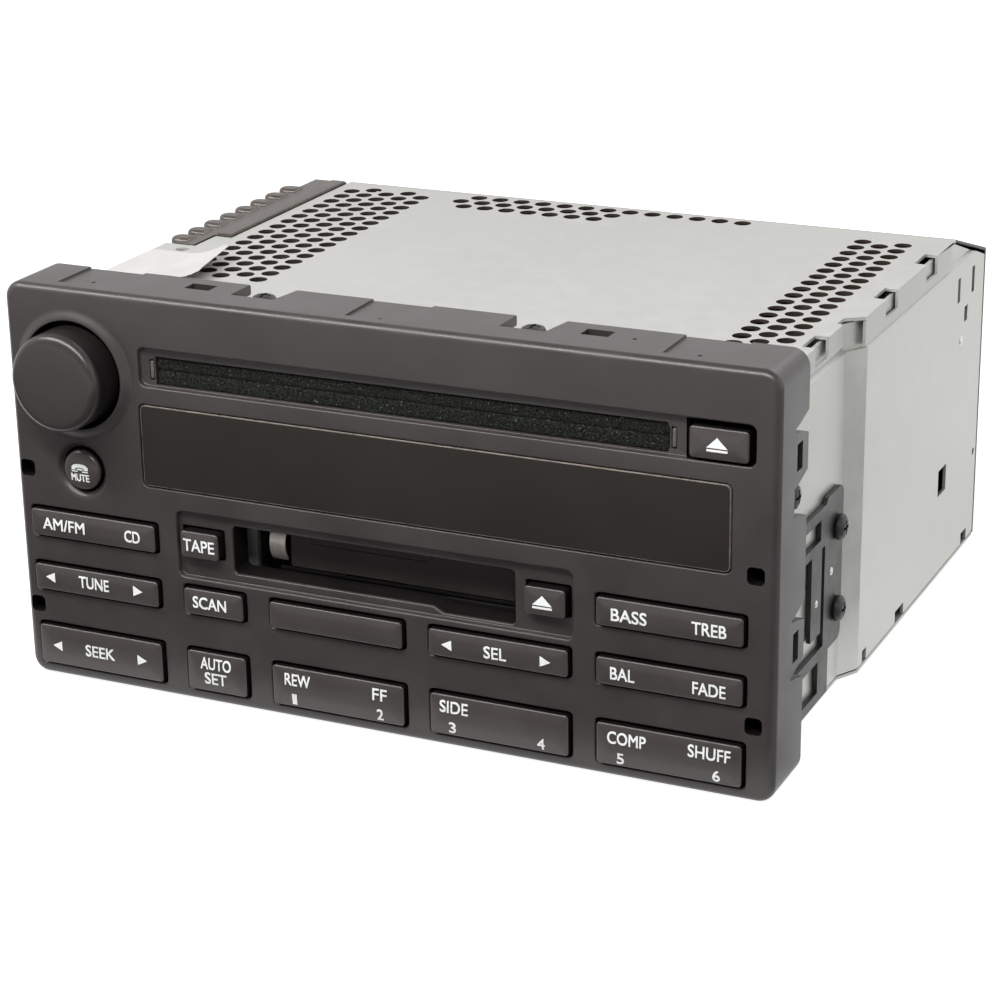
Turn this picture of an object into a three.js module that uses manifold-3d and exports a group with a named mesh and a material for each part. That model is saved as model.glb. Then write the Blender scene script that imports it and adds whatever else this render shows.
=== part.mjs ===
// A double-height car radio with a disc slot and a cassette bay, built as an assembly of
// separate pieces. Millimetres: X to the right, Y from the face to the back, Z up.
// The face lies in the plane Y = 0 while building; the group is moved back at the end.
import * as THREE from 'three';
import { mergeVertices } from 'three/addons/utils/BufferGeometryUtils.js';
import Module from 'manifold-3d';

const wasm = await Module();
wasm.setup();

// ---------------------------------------------------------------- driving dimensions
const GAP = 0.3; // air between pieces that lie against each other
const SHEET = 0.8; // steel sheet of the case

const FACE = { x: [-95, 95], z: [0, 98], thick: 3, depth: 18.6, wall: 2.4, corner: 4, edge: 2 };
const RECESS = 1.5; // depth of the two long recesses in the face
const CD_RECESS = { x: [-59.4, 89.7], z: [76.7, 85.9] };
const CD_SLOT = { x: [-55.6, 70.1], z: [77.1, 83.8] };
const TAPE_RECESS = { x: [-51.6, 48.2], z: [31.2, 47.5] };
const TAPE_MOUTH = { x: [-37.7, 33.8], z: [33.3, 45.1], depth: 8.3, wall: 1.1 };
const FINGER_CUT = { x: [14.5, 33.8], z: 31.8 };
const WINDOW = { x: [-60.1, 84.7], z: [52.2, 72.5], corner: 1.6 };
const TOOL_HOLES = { x: [-91.8, 90.2], z: [18.1, 52.7], size: 4 };

const KNOB = { x: -77, z: 77.5, radius: 11.7, front: -9.3, back: 1, hole: 13, dish: 16, round: 2.4 };
const MUTE = { x: -76.7, z: 54, radius: 4.95, hole: 5.6, dish: 7.1 };
const DISH_DEPTH = 1;

const COLUMN = {
  left: [-91.8, -56.6], narrow: [-50.7, -33.8], middle: [-27.9, 7.3], inner: [12.8, 48],
  right: [53.5, 88.6],
};
const ROW = { upper: [35.8, 43.6], middle: [22, 29.6], lower: [2.9, 13.9] };
const CAP = { gap: 0.6, proud: 1.4, back: 4.5, flange: 1.1, lip: 0.9, stem: 7.3, round: 0.6 };
const ROCKERS = [
  ['am_cd_rocker', 'left', 'upper'], ['tune_rocker', 'left', 'middle'], ['seek_rocker', 'left', 'lower'],
  ['function_rocker', 'middle', 'middle'], ['rew_ff_rocker', 'middle', 'lower'],
  ['sel_rocker', 'inner', 'middle'], ['side_rocker', 'inner', 'lower'],
  ['bass_treble_rocker', 'right', 'upper'], ['balance_fade_rocker', 'right', 'middle'],
  ['comp_shuffle_rocker', 'right', 'lower'],
];
const PUSH_BUTTONS = [
  ['scan_button', COLUMN.narrow, ROW.middle, CAP.proud],
  ['auto_set_button', COLUMN.narrow, ROW.lower, CAP.proud],
  ['tape_button', [-50.9, -39.7], [36.1, 43.7], 1.2],
  ['tape_eject_button', [36.4, 47.4], [35.7, 43.5], 1.2],
  ['cd_eject_button', [74.4, 88.9], [76.8, 85], 0.6],
];

const MAT = { y: [8.5, 9.4], z: [3.2, 46] };
const FRONT_BOARD = { x: [-87.6, 87.6], y: [9.7, 11.3], z: [3.2, 90] };
const BOARD_CUTS = { disc: { x: [-59, 80], z: [75.4, 86.6] }, tape: { x: [-39.4, 36.4], z: [29.6, 50.4] } };

const CASE = {
  top: 91.3, bottom: 2.8, right: 91.7, narrow: 88.5, jog: [63.5, 69.5], rear: 169.6, slope: [141, 80.6],
  front: 20.4, leftFront: 66, leftWall: -78.6,
};
const CLIP_SCREW = { y: 56.8, z: [44.2, 24.1] };
const SKIRT = { drop: 7, narrowDrop: 5.2, cut: 4.6 };
const VENT = { radius: 2.2, sides: 6 };
const HEAT_SINK = {
  y: [66.4, 140], bar: [-88.5, -79], tip: -92.4, fins: 8, pitch: 8, finThick: 5.2, foot: 14,
};

const DISC = { x: 7.2, y: 80, z: 80 }; // centre of a loaded disc, and the underside of that disc
const CD_DECK = { x: [-62, 76.4], y: [15, 152], z: [64, 86], plate: 1.2 };
const TAPE_DECK = { x: [-38.4, 46], y: [13.8, 124], z: [29.4, 52], plate: 1 };
const REEL_Y = [46, 88.5];
const TAPE_X = -1.95; // middle of the cassette bay
const MAIN_BOARD = { x: [-76, 84], y: [22, 160], z: [9, 10.6] };

// ---------------------------------------------------------------- helpers
const group = new THREE.Group();

function material(color, roughness, metalness) {
  return { color, roughness, metalness };
}
const LOOK = {
  bezel: material(0x413d3b, 0.6, 0),
  cap: material(0x35322f, 0.5, 0),
  lens: material(0x1f1d1a, 0.25, 0),
  felt: material(0x1d211f, 1, 0),
  steel: material(0xd0cfca, 0.45, 0.8),
  blackSteel: material(0x2c2a29, 0.5, 0.5),
  spring: material(0x6b625a, 0.4, 0.8),
  heatSink: material(0x4a4543, 0.5, 0.6),
  label: material(0xf1f0ef, 0.7, 0),
  board: material(0x2f5d3a, 0.6, 0),
  rubber: material(0xb7b4ab, 0.9, 0),
  blackPlastic: material(0x1a1a1b, 0.5, 0),
  deck: material(0x9a9a98, 0.4, 0.8),
  white: material(0xd9d6cc, 0.6, 0),
};

function piece(name, manifold, look) {
  const { vertProperties, triVerts } = manifold.getMesh();
  const geometry = new THREE.BufferGeometry();
  geometry.setAttribute('position', new THREE.BufferAttribute(Float32Array.from(vertProperties), 3));
  geometry.setIndex(new THREE.BufferAttribute(Uint32Array.from(triVerts), 1));
  geometry.computeVertexNormals();
  const mesh = new THREE.Mesh(geometry, new THREE.MeshStandardMaterial(look));
  mesh.name = name;
  group.add(mesh);
}

function solid(geometry) {
  geometry.deleteAttribute('normal');
  geometry.deleteAttribute('uv');
  const merged = mergeVertices(geometry, 1e-4);
  return new wasm.Manifold(new wasm.Mesh({
    numProp: 3,
    vertProperties: Float32Array.from(merged.attributes.position.array),
    triVerts: Uint32Array.from(merged.index.array),
  }));
}

const join = (...parts) => parts.reduce((a, b) => a.add(b));
const cut = (body, ...tools) => tools.reduce((a, b) => a.subtract(b), body);
const middle = (span) => (span[0] + span[1]) / 2;
const widened = (span, by) => [span[0] - by, span[1] + by];

function block(x, y, z) {
  const geometry = new THREE.BoxGeometry(x[1] - x[0], y[1] - y[0], z[1] - z[0]);
  geometry.translate(middle(x), middle(y), middle(z));
  return solid(geometry);
}

// An outline in the two axes across `axis`, drawn out between the two ends of `span`.
// Outlines across X are (y, z), across Y (x, z) and across Z (x, y).
function prism(axis, outline, span, options = {}) {
  const depth = span[1] - span[0];
  const settings = { depth, bevelEnabled: false, curveSegments: 4, ...options };
  const geometry = new THREE.ExtrudeGeometry(outline, settings);
  const basis = new THREE.Matrix4();
  const [ex, ey, ez] = [[1, 0, 0], [0, 1, 0], [0, 0, 1]].map((v) => new THREE.Vector3(...v));
  if (axis === 'x') basis.makeBasis(ey, ez, ex).setPosition(span[0], 0, 0);
  if (axis === 'y') basis.makeBasis(ex, ez, ey.negate()).setPosition(0, span[1], 0);
  if (axis === 'z') basis.setPosition(0, 0, span[0]);
  geometry.applyMatrix4(basis);
  return solid(geometry);
}

const outlineOf = (points) => new THREE.Shape(points.map(([u, v]) => new THREE.Vector2(u, v)));

function roundedOutline(u, v, radius) {
  const shape = new THREE.Shape();
  const turn = Math.PI / 2;
  shape.absarc(u[1] - radius, v[0] + radius, radius, -turn, 0);
  shape.absarc(u[1] - radius, v[1] - radius, radius, 0, turn);
  shape.absarc(u[0] + radius, v[1] - radius, radius, turn, 2 * turn);
  shape.absarc(u[0] + radius, v[0] + radius, radius, 2 * turn, 3 * turn);
  shape.closePath();
  return shape;
}

// A round bar along an axis: `at` holds the two coordinates across the axis.
function rod(axis, at, radius, span, sides = 20) {
  const geometry = new THREE.CylinderGeometry(radius, radius, span[1] - span[0], sides);
  if (axis === 'x') geometry.rotateZ(-Math.PI / 2).translate(middle(span), at[0], at[1]);
  if (axis === 'y') geometry.translate(at[0], middle(span), at[1]);
  if (axis === 'z') geometry.rotateX(Math.PI / 2).translate(at[0], at[1], middle(span));
  return solid(geometry);
}

// A body of revolution about a line along Y: the profile holds (radius, y) pairs.
function turned(x, z, profile, sides) {
  const geometry = new THREE.LatheGeometry(profile.map(([r, y]) => new THREE.Vector2(r, y)), sides);
  geometry.translate(x, 0, z);
  return solid(geometry);
}

// A block with rounded corners whose front edge is rounded too.
function softBlock(x, z, front, back, radius, edge, steps) {
  const options = { bevelEnabled: true, bevelThickness: edge, bevelSize: edge, bevelOffset: -edge,
    bevelSegments: steps, curveSegments: steps + 1 };
  const body = prism('y', roundedOutline(x, z, radius), [front + edge, back + edge], options);
  return cut(body, block(widened(x, 1), [back, back + 3 * edge], widened(z, 1)));
}

// ---------------------------------------------------------------- face: the bezel
const inside = FACE.wall;
const BACK_EDGE = FACE.depth;

function topPockets() {
  const shallow = [[-82.6, -67.4], [-7.9, 7.3], [67.1, 82.2]];
  const slots = [[-52.4, -46], [45.9, 52.3]];
  const pockets = shallow.map((x) => block(x, [4.4, BACK_EDGE + 1], [FACE.z[1] - 0.5, FACE.z[1] + 1]));
  const holes = slots.map((x) => block(x, [10.4, 14.6], [FACE.z[1] - inside - 1, FACE.z[1] + 1]));
  return [...pockets, ...holes];
}

const TOP_SCREW = { x: [-33.7, 33.2], y: 14.2, seat: 95.2 };
const SIDE_SCREW = { y: 14.2, z: 66.2, seat: 92.4 };

function topNotch(x) {
  const outline = outlineOf([[x - 5.9, 9.4], [x + 5, 9.4], [x + 6.6, BACK_EDGE + 1],
    [x - 5.9, BACK_EDGE + 1]]);
  return prism('z', outline, [FACE.z[1] - inside - 1, FACE.z[1] + 1]);
}

function topSeat(x) {
  const shelf = block([x - 5, x + 4.6], [8, 17.6], [TOP_SCREW.seat - 1.6, TOP_SCREW.seat]);
  const web = block([x - 5, x + 4.6], [8, 9.4], [TOP_SCREW.seat - 1.6, FACE.z[1] - 1]);
  const screwHole = rod('z', [x, TOP_SCREW.y], 1.8, [TOP_SCREW.seat - 3, TOP_SCREW.seat + 3], 12);
  return cut(join(shelf, web), screwHole);
}

function sideNotches(side) {
  const across = [side * FACE.x[1] - 4, side * FACE.x[1] + 4];
  const wedge = (low, high, front) => prism('x', outlineOf([
    [front, low + 0.4], [front, high - 0.4], [front + 2.4, high], [BACK_EDGE + 1, high + 2],
    [BACK_EDGE + 1, low - 2], [front + 2.4, low]]), across);
  return [
    wedge(81.4, 83.2, 10.2), wedge(62.6, 69.8, 10), wedge(38.6, 39.8, 10.2), wedge(25, 26.6, 10.2),
    block(across, [11.2, 14.6], [72.9, 79]), block(across, [11.2, 14.6], [29, 35.8]),
  ];
}

function sideSeat(side) {
  const outer = side * SIDE_SCREW.seat;
  const x = side > 0 ? [outer - 1.6, outer] : [outer, outer + 1.6];
  const edge = side > 0 ? [outer - 1.6, FACE.x[1] - 1] : [FACE.x[0] + 1, outer + 1.6];
  const shelf = block(x, [8.6, 17.6], [SIDE_SCREW.z - 3.6, SIDE_SCREW.z + 3.6]);
  const web = block(edge, [8.6, 10], [SIDE_SCREW.z - 3.6, SIDE_SCREW.z + 3.6]);
  return cut(join(shelf, web), rod('x', [SIDE_SCREW.y, SIDE_SCREW.z], 1.8, widened(x, 2), 12));
}

function mouthTunnel() {
  const { x, z, depth, wall } = TAPE_MOUTH;
  const upper = block(widened(x, wall), [FACE.thick - 0.5, depth], widened(z, wall));
  const lower = block(widened(FINGER_CUT.x, wall), [FACE.thick - 0.5, depth],
    [FINGER_CUT.z - wall, z[0] + 1]);
  return join(upper, lower);
}

function mouthCut() {
  const { x, z } = TAPE_MOUTH;
  const through = [-1, TAPE_MOUTH.depth + 1];
  const ramp = outlineOf([[FINGER_CUT.x[0] + 1.6, FINGER_CUT.z], [FINGER_CUT.x[1], FINGER_CUT.z],
    [FINGER_CUT.x[1], z[0] + 1], [FINGER_CUT.x[0] - 1, z[0] + 1]]);
  return join(block(x, through, z), prism('y', ramp, through));
}

function bezel() {
  const shell = softBlock(FACE.x, FACE.z, 0, FACE.depth, FACE.corner, FACE.edge, 3);
  const hollow = block(widened(FACE.x, -inside), [FACE.thick, BACK_EDGE + 1], widened(FACE.z, -inside));
  const through = [-1, FACE.thick + 1];
  const recess = ({ x, z }) => prism('y', roundedOutline(x, z, 1.4), [-1, RECESS]);
  const opening = (x, z) => prism('y', roundedOutline(x, z, 0.7), through, { curveSegments: 2 });
  const toolHoles = TOOL_HOLES.x.flatMap((x) => TOOL_HOLES.z.map((z) => opening(
    widened([x, x], TOOL_HOLES.size / 2), widened([z, z], TOOL_HOLES.size / 2))));
  const dish = ({ x, z, dish: rim, hole }) => turned(x, z,
    [[0, -1], [rim, -1], [rim, 0], [hole, DISH_DEPTH], [hole, through[1]], [0, through[1]]], 32);
  const face = cut(shell, hollow, recess(CD_RECESS), recess(TAPE_RECESS));
  const walls = join(face, mouthTunnel(), ...TOP_SCREW.x.map(topSeat), sideSeat(1), sideSeat(-1));
  const notched = cut(walls, ...topPockets(), ...sideNotches(1), ...sideNotches(-1));
  const seats = join(cut(notched, ...TOP_SCREW.x.map(topNotch)), ...TOP_SCREW.x.map(topSeat),
    sideSeat(1), sideSeat(-1));
  return cut(seats,
    mouthCut(), opening(CD_SLOT.x, CD_SLOT.z),
    prism('y', roundedOutline(WINDOW.x, WINDOW.z, WINDOW.corner), through),
    dish(KNOB), dish(MUTE), ...toolHoles,
    ...ROCKERS.map(([, column, row]) => opening(COLUMN[column], ROW[row])),
    ...PUSH_BUTTONS.map(([, x, z]) => opening(x, z)));
}

// ---------------------------------------------------------------- face: the controls
function rocker(x, z) {
  const capX = widened(x, -CAP.gap);
  const capZ = widened(z, -CAP.gap);
  const cap = softBlock(capX, capZ, -CAP.proud, CAP.back, 0.7, CAP.round, 1);
  const flange = block(capX, [CAP.back - 0.1, CAP.back + CAP.flange], widened(capZ, CAP.lip));
  const stems = [-1, 1].map((side) => block(
    widened([middle(x) + side * 12, middle(x) + side * 12], 1.6), [CAP.back, CAP.stem],
    widened([middle(z), middle(z)], 1.6)));
  return join(cap, flange, ...stems);
}

function pushButton(x, z, proud) {
  const capX = widened(x, -CAP.gap);
  const capZ = widened(z, -CAP.gap);
  const cap = softBlock(capX, capZ, -proud, CAP.back, 0.7, CAP.round, 1);
  const flange = block(widened(capX, CAP.lip), [CAP.back - 0.1, CAP.back + CAP.flange],
    widened(capZ, CAP.lip));
  const stem = rod('y', [middle(x), middle(z)], 1.8, [CAP.back, CAP.stem], 12);
  return join(cap, flange, stem);
}

function muteButton() {
  return turned(MUTE.x, MUTE.z, [[0, -0.9], [2.6, -0.75], [4.2, -0.3], [MUTE.radius, 0.5],
    [MUTE.radius, CAP.back], [MUTE.radius + 1, CAP.back], [MUTE.radius + 1, CAP.back + CAP.flange],
    [1.8, CAP.back + CAP.flange], [1.8, CAP.stem], [0, CAP.stem]], 28);
}

const SHAFT = { radius: 2.8, bore: 3.1, y: [-6.6, 7.7] };

function volumeKnob() {
  const { radius, front, back, round } = KNOB;
  const lip = [0, 0.5, 1].map((t) => {
    const angle = (t * Math.PI) / 2;
    return [radius - round + round * Math.sin(angle), front + round - round * Math.cos(angle)];
  });
  return turned(KNOB.x, KNOB.z, [[0, front], ...lip, [radius, back], [radius - 1.6, back],
    [radius - 1.6, front + 2.2], [5, front + 2.2], [5, back], [SHAFT.bore, back],
    [SHAFT.bore, front + 2.4], [0, front + 2.4]], 40);
}

function volumeEncoder() {
  const body = block(widened([KNOB.x, KNOB.x], 6.6), [4.6, MAT.y[1]], widened([KNOB.z, KNOB.z], 6.6));
  const bush = rod('y', [KNOB.x, KNOB.z], 4.4, [2.2, 5], 20);
  return cut(join(body, bush), rod('y', [KNOB.x, KNOB.z], SHAFT.bore, [0, 8.8], 20));
}

function displayLens() {
  const pane = prism('y', roundedOutline(widened(WINDOW.x, -0.25), widened(WINDOW.z, -0.25), WINDOW.corner),
    [0.15, FACE.thick + GAP + 0.2]);
  return join(pane, block(widened(WINDOW.x, 0.9), [FACE.thick + GAP, 4.3], widened(WINDOW.z, 0.9)));
}

function displayModule() {
  const glass = block(widened(WINDOW.x, 0.6), [4.7, 7.2], widened(WINDOW.z, 0.4));
  const housing = block(widened(WINDOW.x, 1.2), [7.1, MAT.y[1]], widened(WINDOW.z, 0.9));
  return join(glass, housing);
}

function cdFelt() {
  const x = widened(CD_SLOT.x, -GAP);
  const z = widened(CD_SLOT.z, -GAP);
  const strip = join(block(x, [RECESS + 0.5, FACE.thick + GAP + 0.1], z),
    block(widened(CD_SLOT.x, 2), [FACE.thick + GAP, 4.9], widened(CD_SLOT.z, 1.2)));
  const slit = block(widened(x, -2.2), [0, 6], widened([DISC.z + 0.5, DISC.z + 0.5], 0.8));
  return cut(strip, slit);
}

function keypadMat() {
  const main = block(widened(FRONT_BOARD.x, -0.4), MAT.y, MAT.z);
  const mutePad = block([MUTE.x - 7, MUTE.x + 7], MAT.y, [MAT.z[1] - 1, MUTE.z + 7]);
  return cut(join(main, mutePad), block(BOARD_CUTS.tape.x, [8, 10], BOARD_CUTS.tape.z));
}

function frontBoard() {
  const plate = block(FRONT_BOARD.x, FRONT_BOARD.y, FRONT_BOARD.z);
  const windows = Object.values(BOARD_CUTS).map(({ x, z }) => block(x, [9, 12], z));
  return cut(plate, ...windows);
}

const DOOR = { x: [-26.5, 33.2], y: [8.7, 9.9], z: [34.3, 46.2], axisY: 9.5, axisZ: 46.6 };

function tapeDoor() {
  const flap = block(DOOR.x, DOOR.y, DOOR.z);
  const barrel = rod('x', [DOOR.axisY, DOOR.axisZ], 1, [DOOR.x[0], DOOR.x[1]], 12);
  const pins = rod('x', [DOOR.axisY, DOOR.axisZ], 0.7, widened(DOOR.x, 1.7), 10);
  return join(flap, barrel, pins);
}

function guideSpring() {
  const centre = [13.2, 39.6];
  const radius = 6;
  const arc = (r, from, to, turnsBack) => {
    const path = new THREE.Path();
    path.absarc(centre[0], centre[1], r, from, to, turnsBack);
    return path.getPoints(8);
  };
  const [from, to] = [Math.PI * 0.76, Math.PI * 1.22];
  const outline = new THREE.Shape([...arc(radius, from, to, false), ...arc(radius - 0.5, to, from, true)]);
  const leaf = prism('x', outline, [-31.2, -27.1]);
  const tail = outlineOf([[8.4, 43], [8.9, 43], [9.6, 46], [13, 49.4], [13, 50], [9.2, 46.3]]);
  return join(leaf, prism('x', tail, [-31.2, -29.2]));
}

// ---------------------------------------------------------------- the steel case
const FRAME = { x: [-86.8, 86.6], y: [12.6, 20], z: [4.4, 89.6] };

function frontFrame() {
  const tray = cut(block(FRAME.x, FRAME.y, FRAME.z),
    block(widened(FRAME.x, -SHEET), [FRAME.y[0] + SHEET, 30], widened(FRAME.z, -SHEET)));
  const windows = [block([-61.4, 78], [10, 14], [75, 87]), block([-37.6, 36], [10, 14], [30.6, 51]),
    block([-72, -44], [10, 14], [12.4, 17.6])];
  const screwHoles = [
    ...TOP_SCREW.x.map((x) => rod('z', [x, TOP_SCREW.y], 1.7, [86, 92], 12)),
    rod('x', [SIDE_SCREW.y, SIDE_SCREW.z], 1.7, [-90, 90], 12),
  ];
  return cut(tray, ...windows, ...screwHoles);
}

const coverFront = CASE.front + 1.2;

function ventHoles() {
  const hole = (x, y) => rod('z', [x, y], VENT.radius, [CASE.top - 2, CASE.top + 1], VENT.sides);
  const holes = [];
  const leftField = { x: -52.43, y: 44.21, step: 5.18, half: 5.85 / 2 };
  for (let column = 0; column < 5; column += 1) {
    for (let row = column % 2; row <= 31; row += 2) {
      holes.push(hole(leftField.x - column * leftField.step, leftField.y + row * leftField.half));
    }
  }
  const rightField = { x: 70.79, y: 37.23, step: 5.18, half: 5.85 / 2 };
  for (let column = 0; column < 3; column += 1) {
    for (let row = [0, 1, 2][column]; row <= 32; row += 2) {
      holes.push(hole(rightField.x + column * rightField.step, rightField.y + row * rightField.half));
    }
  }
  const rearField = { x: -37.67, y: 137.4, step: 6.2, rowStep: 4.85 };
  [[0, 13], [-0.5, 8], [0, 7]].forEach(([shift, count], row) => {
    for (let k = 0; k < count; k += 1) {
      holes.push(hole(rearField.x + (k + shift) * rearField.step, rearField.y - row * rearField.rowStep));
    }
  });
  return join(...holes);
}

function topCover() {
  const { top, right, jog, slope, narrow } = CASE;
  const edge = narrow + 0.4;
  const leftEdge = HEAT_SINK.y[0] - GAP;
  const outline = outlineOf([
    [-91.4, coverFront], [edge, coverFront], [edge, jog[0] - 4], [edge - 1.6, jog[0] - 3.6],
    [edge - 1.4, jog[1] - 5], [right, jog[1] - 2], [right, slope[0]],
    [-78.4, slope[0]], [-78.4, 76.4], [-83, 76.4], [-83, leftEdge], [-91.4, leftEdge]]);
  const plate = prism('z', outline, [top - SHEET, top]);
  const wideSkirt = block([right - 0.7, right], [jog[1] - 2, 138], [top - SKIRT.drop, top - 0.1]);
  const narrowSkirt = block([edge - 0.7, edge], [coverFront, jog[0] - 4],
    [top - SKIRT.narrowDrop, top - 0.1]);
  const notch = (from, outer) => block([outer - 3.2, outer + 1], [from, from + 9.3],
    [top - SKIRT.cut, top + 1]);
  return cut(join(plate, wideSkirt, narrowSkirt), notch(83, right), notch(115.8, right), notch(40, edge),
    rod('z', [-83.3, 60.6], 1.7, [top - 2, top + 1], 10), ventHoles());
}

function sideOutline(frontY) {
  const { rear, slope, top, bottom } = CASE;
  return outlineOf([[frontY, bottom + 1.2], [rear, bottom + 1.2], [rear, slope[1]],
    [slope[0] + 1, top - 1.2], [frontY, top - 1.2]]);
}

const SIDE_INSET = 1.1; // the wall's top stands back by this much behind the cover's skirt

function wallSection(outer) {
  const inset = SIDE_INSET;
  return outlineOf([[outer, CASE.bottom], [outer, 83.4], [outer - inset, 84.4], [outer - inset, CASE.top],
    [outer - inset - SHEET, CASE.top], [outer - inset - SHEET, 84], [outer - SHEET, 83],
    [outer - SHEET, CASE.bottom]]);
}

const clipScrewHoles = (x) => CLIP_SCREW.z.map((z) => rod('x', [CLIP_SCREW.y, z], 1.7, x, 12));

function rightSide() {
  const { narrow, right, jog, rear } = CASE;
  const front = prism('y', wallSection(narrow), [CASE.front, jog[0]]);
  const back = prism('y', wallSection(right), [jog[1], rear]);
  const joggle = (inset, span) => prism('z', outlineOf([[narrow - inset - SHEET, jog[0] - 1],
    [narrow - inset, jog[0] - 0.2], [narrow - inset, jog[0]], [right - inset, jog[1]],
    [right - inset, jog[1] + 0.2], [right - inset - SHEET, jog[1] + 1],
    [right - inset - SHEET, jog[1] + 0.5], [narrow - inset - SHEET, jog[0] + 0.5]]), span);
  const across = [80, 96];
  const keep = prism('x', sideOutline(CASE.front), across);
  const bottomNotches = [[99.5, 106.5], [158.5, 163.5], [73, 76]].map((y) => block(across, y, [0, 7]));
  const holes = [
    block(across, [145.2, 147.4], [73.6, 80]), block(across, [158.2, 160.6], [73.2, 80]),
    block(across, [152.2, 155], [67, 71]), block(across, [134, 141], [25.4, 32.4]),
    rod('x', [167, 27.4], 1, across, 10), ...clipScrewHoles(across),
  ];
  const wall = join(front, back, joggle(0, [0, 83.6]), joggle(SIDE_INSET, [83.2, 95]));
  return cut(wall.intersect(keep), ...bottomNotches, ...holes);
}

function leftSide() {
  const { narrow, leftFront, leftWall, rear } = CASE;
  const outer = -narrow;
  const plan = outlineOf([[outer, CASE.front], [outer + SHEET, CASE.front],
    [outer + SHEET, leftFront - SHEET], [leftWall + SHEET, leftFront - SHEET],
    [leftWall + SHEET, rear], [leftWall, rear],
    [leftWall, leftFront], [outer, leftFront]]);
  const wall = prism('z', plan, [0, 95]);
  const keep = prism('x', sideOutline(CASE.front), [-95, -70]);
  return cut(wall.intersect(keep), ...clipScrewHoles([-95, -85]));
}

function bottomCover() {
  const { narrow, right, jog, bottom, rear, leftFront, leftWall } = CASE;
  const outline = outlineOf([[-narrow, CASE.front], [narrow, CASE.front], [narrow, jog[0]], [right, jog[1]],
    [right, rear], [leftWall, rear], [leftWall, leftFront], [-narrow, leftFront]]);
  const plate = prism('z', outline, [bottom, bottom + SHEET]);
  const ribs = [[-62, -18], [26, 70]];
  const ribY = [146, 160];
  const outerRibs = ribs.map((x) => block(x, ribY, [0, bottom + 0.1]));
  const innerRibs = ribs.map((x) => block(widened(x, -SHEET), widened(ribY, -SHEET), [SHEET, bottom + 2]));
  const slots = [-54, -42, -30].map((x) => block([x, x + 3], [40, 70], [bottom - 1, bottom + 2]));
  return cut(join(plate, ...outerRibs), ...innerRibs, ...slots);
}

const POWER = { x: [32, 72], y: [152, 170.2], z: [12, 32] };
const ANTENNA = { x: -50, z: 52, radius: 6.4 };
const PANEL = 1.2; // thickness of the dark rear plate
const PAD = { x: 0, z: 46, radius: 8, height: 1.4 }; // flat pressed pad where the dash supports the back

function rearPanel() {
  const { slope, top, rear, right, leftWall } = CASE;
  const y = rear + GAP;
  const outline = outlineOf([[slope[0] + 0.3, top], [y + PANEL, slope[1] + 1.4], [y + PANEL, 3.2], [y, 3.2],
    [y, slope[1] + 0.9], [slope[0] + 0.3, top - PANEL + 0.6]]);
  const plate = prism('x', outline, [leftWall, right]);
  const pad = rod('y', [PAD.x, PAD.z], PAD.radius, [y + PANEL - 0.1, y + PANEL + PAD.height], 24);
  return cut(join(plate, pad), block(widened(POWER.x, GAP), [165, 175], widened(POWER.z, GAP)),
    rod('y', [ANTENNA.x, ANTENNA.z], ANTENNA.radius + GAP, [160, 175], 24));
}

function heatSink() {
  const { y, bar, tip, fins, pitch, finThick, foot } = HEAT_SINK;
  const top = CASE.top + 0.2;
  const body = join(block([bar[0], bar[0] + 2], y, [foot, top]), block(bar, y, [top - 3, top]),
    block([bar[1] - 3, bar[1]], y, [foot, top]));
  const radius = finThick / 2;
  const blades = Array.from({ length: fins }, (_, k) => {
    const first = y[0] + 2 + k * pitch;
    const shape = new THREE.Shape();
    shape.moveTo(bar[0] + 1, first);
    shape.lineTo(bar[0] + 1, first + finThick);
    shape.lineTo(tip + radius, first + finThick);
    shape.absarc(tip + radius, first + radius, radius, Math.PI / 2, -Math.PI / 2 + 2 * Math.PI);
    return prism('z', shape, [foot, top - 2.4], { curveSegments: 5 });
  });
  const lip = block([bar[1] - 4.6, bar[1] + 1], [y[0] - 1, 77], [CASE.top - SHEET - GAP, top + 1]);
  return cut(join(body, ...blades), lip);
}

// Sheet clip that holds the radio in its cage: outline across X, for the right side.
function releaseClip(side) {
  const x = side > 0 ? [CASE.narrow + GAP, CASE.narrow + 1.3] : [-CASE.narrow - 1.3, -CASE.narrow - GAP];
  const bar = (y, z) => block(x, y, z);
  const plate = prism('x', roundedOutline([48, 60.8], [15.6, 53.6], 2.4), x);
  const parts = [bar([20.5, 50], [49.8, 52.4]), bar([26, 50], [42.6, 44.9]), bar([44.9, 50], [42.6, 52.4]),
    bar([38.8, 45.9], [22, 44]), bar([48, 52], [5, 20]), bar([20.5, 51], [5, 7.4]),
    bar([20.5, 51], [15.2, 18]), bar([44.8, 51], [5, 18])];
  return cut(join(plate, ...parts), ...clipScrewHoles(widened(x, 1)));
}

function labelSticker() {
  const z = CASE.top + 0.15;
  const lift = [[-90.6, z], [-76, z], [-71, z + 1.4], [-67.6, z + 3.4]];
  const outline = outlineOf([...lift, ...lift.slice().reverse().map(([x, height]) => [x, height + 0.15])]);
  return prism('y', outline, [36.8, 60.6]);
}

// ---------------------------------------------------------------- fasteners
function crossHead(radius, height, sides) {
  const head = rod('z', [0, 0], radius, [0, height], sides);
  const bars = [block([-1.7, 1.7], [-0.35, 0.35], [height - 0.9, height + 1]),
    block([-0.35, 0.35], [-1.7, 1.7], [height - 0.9, height + 1])];
  return cut(head, ...bars);
}

function screw(radius, length) {
  return join(crossHead(radius, 1.9, 16), rod('z', [0, 0], 1.35, [-length, 0.1], 8));
}

const standing = (manifold, x, y, z) => manifold.translate([x, y, z]);
const lying = (manifold, side, x, y, z) => manifold.rotate([0, side * 90, 0]).translate([x, y, z]);

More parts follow.
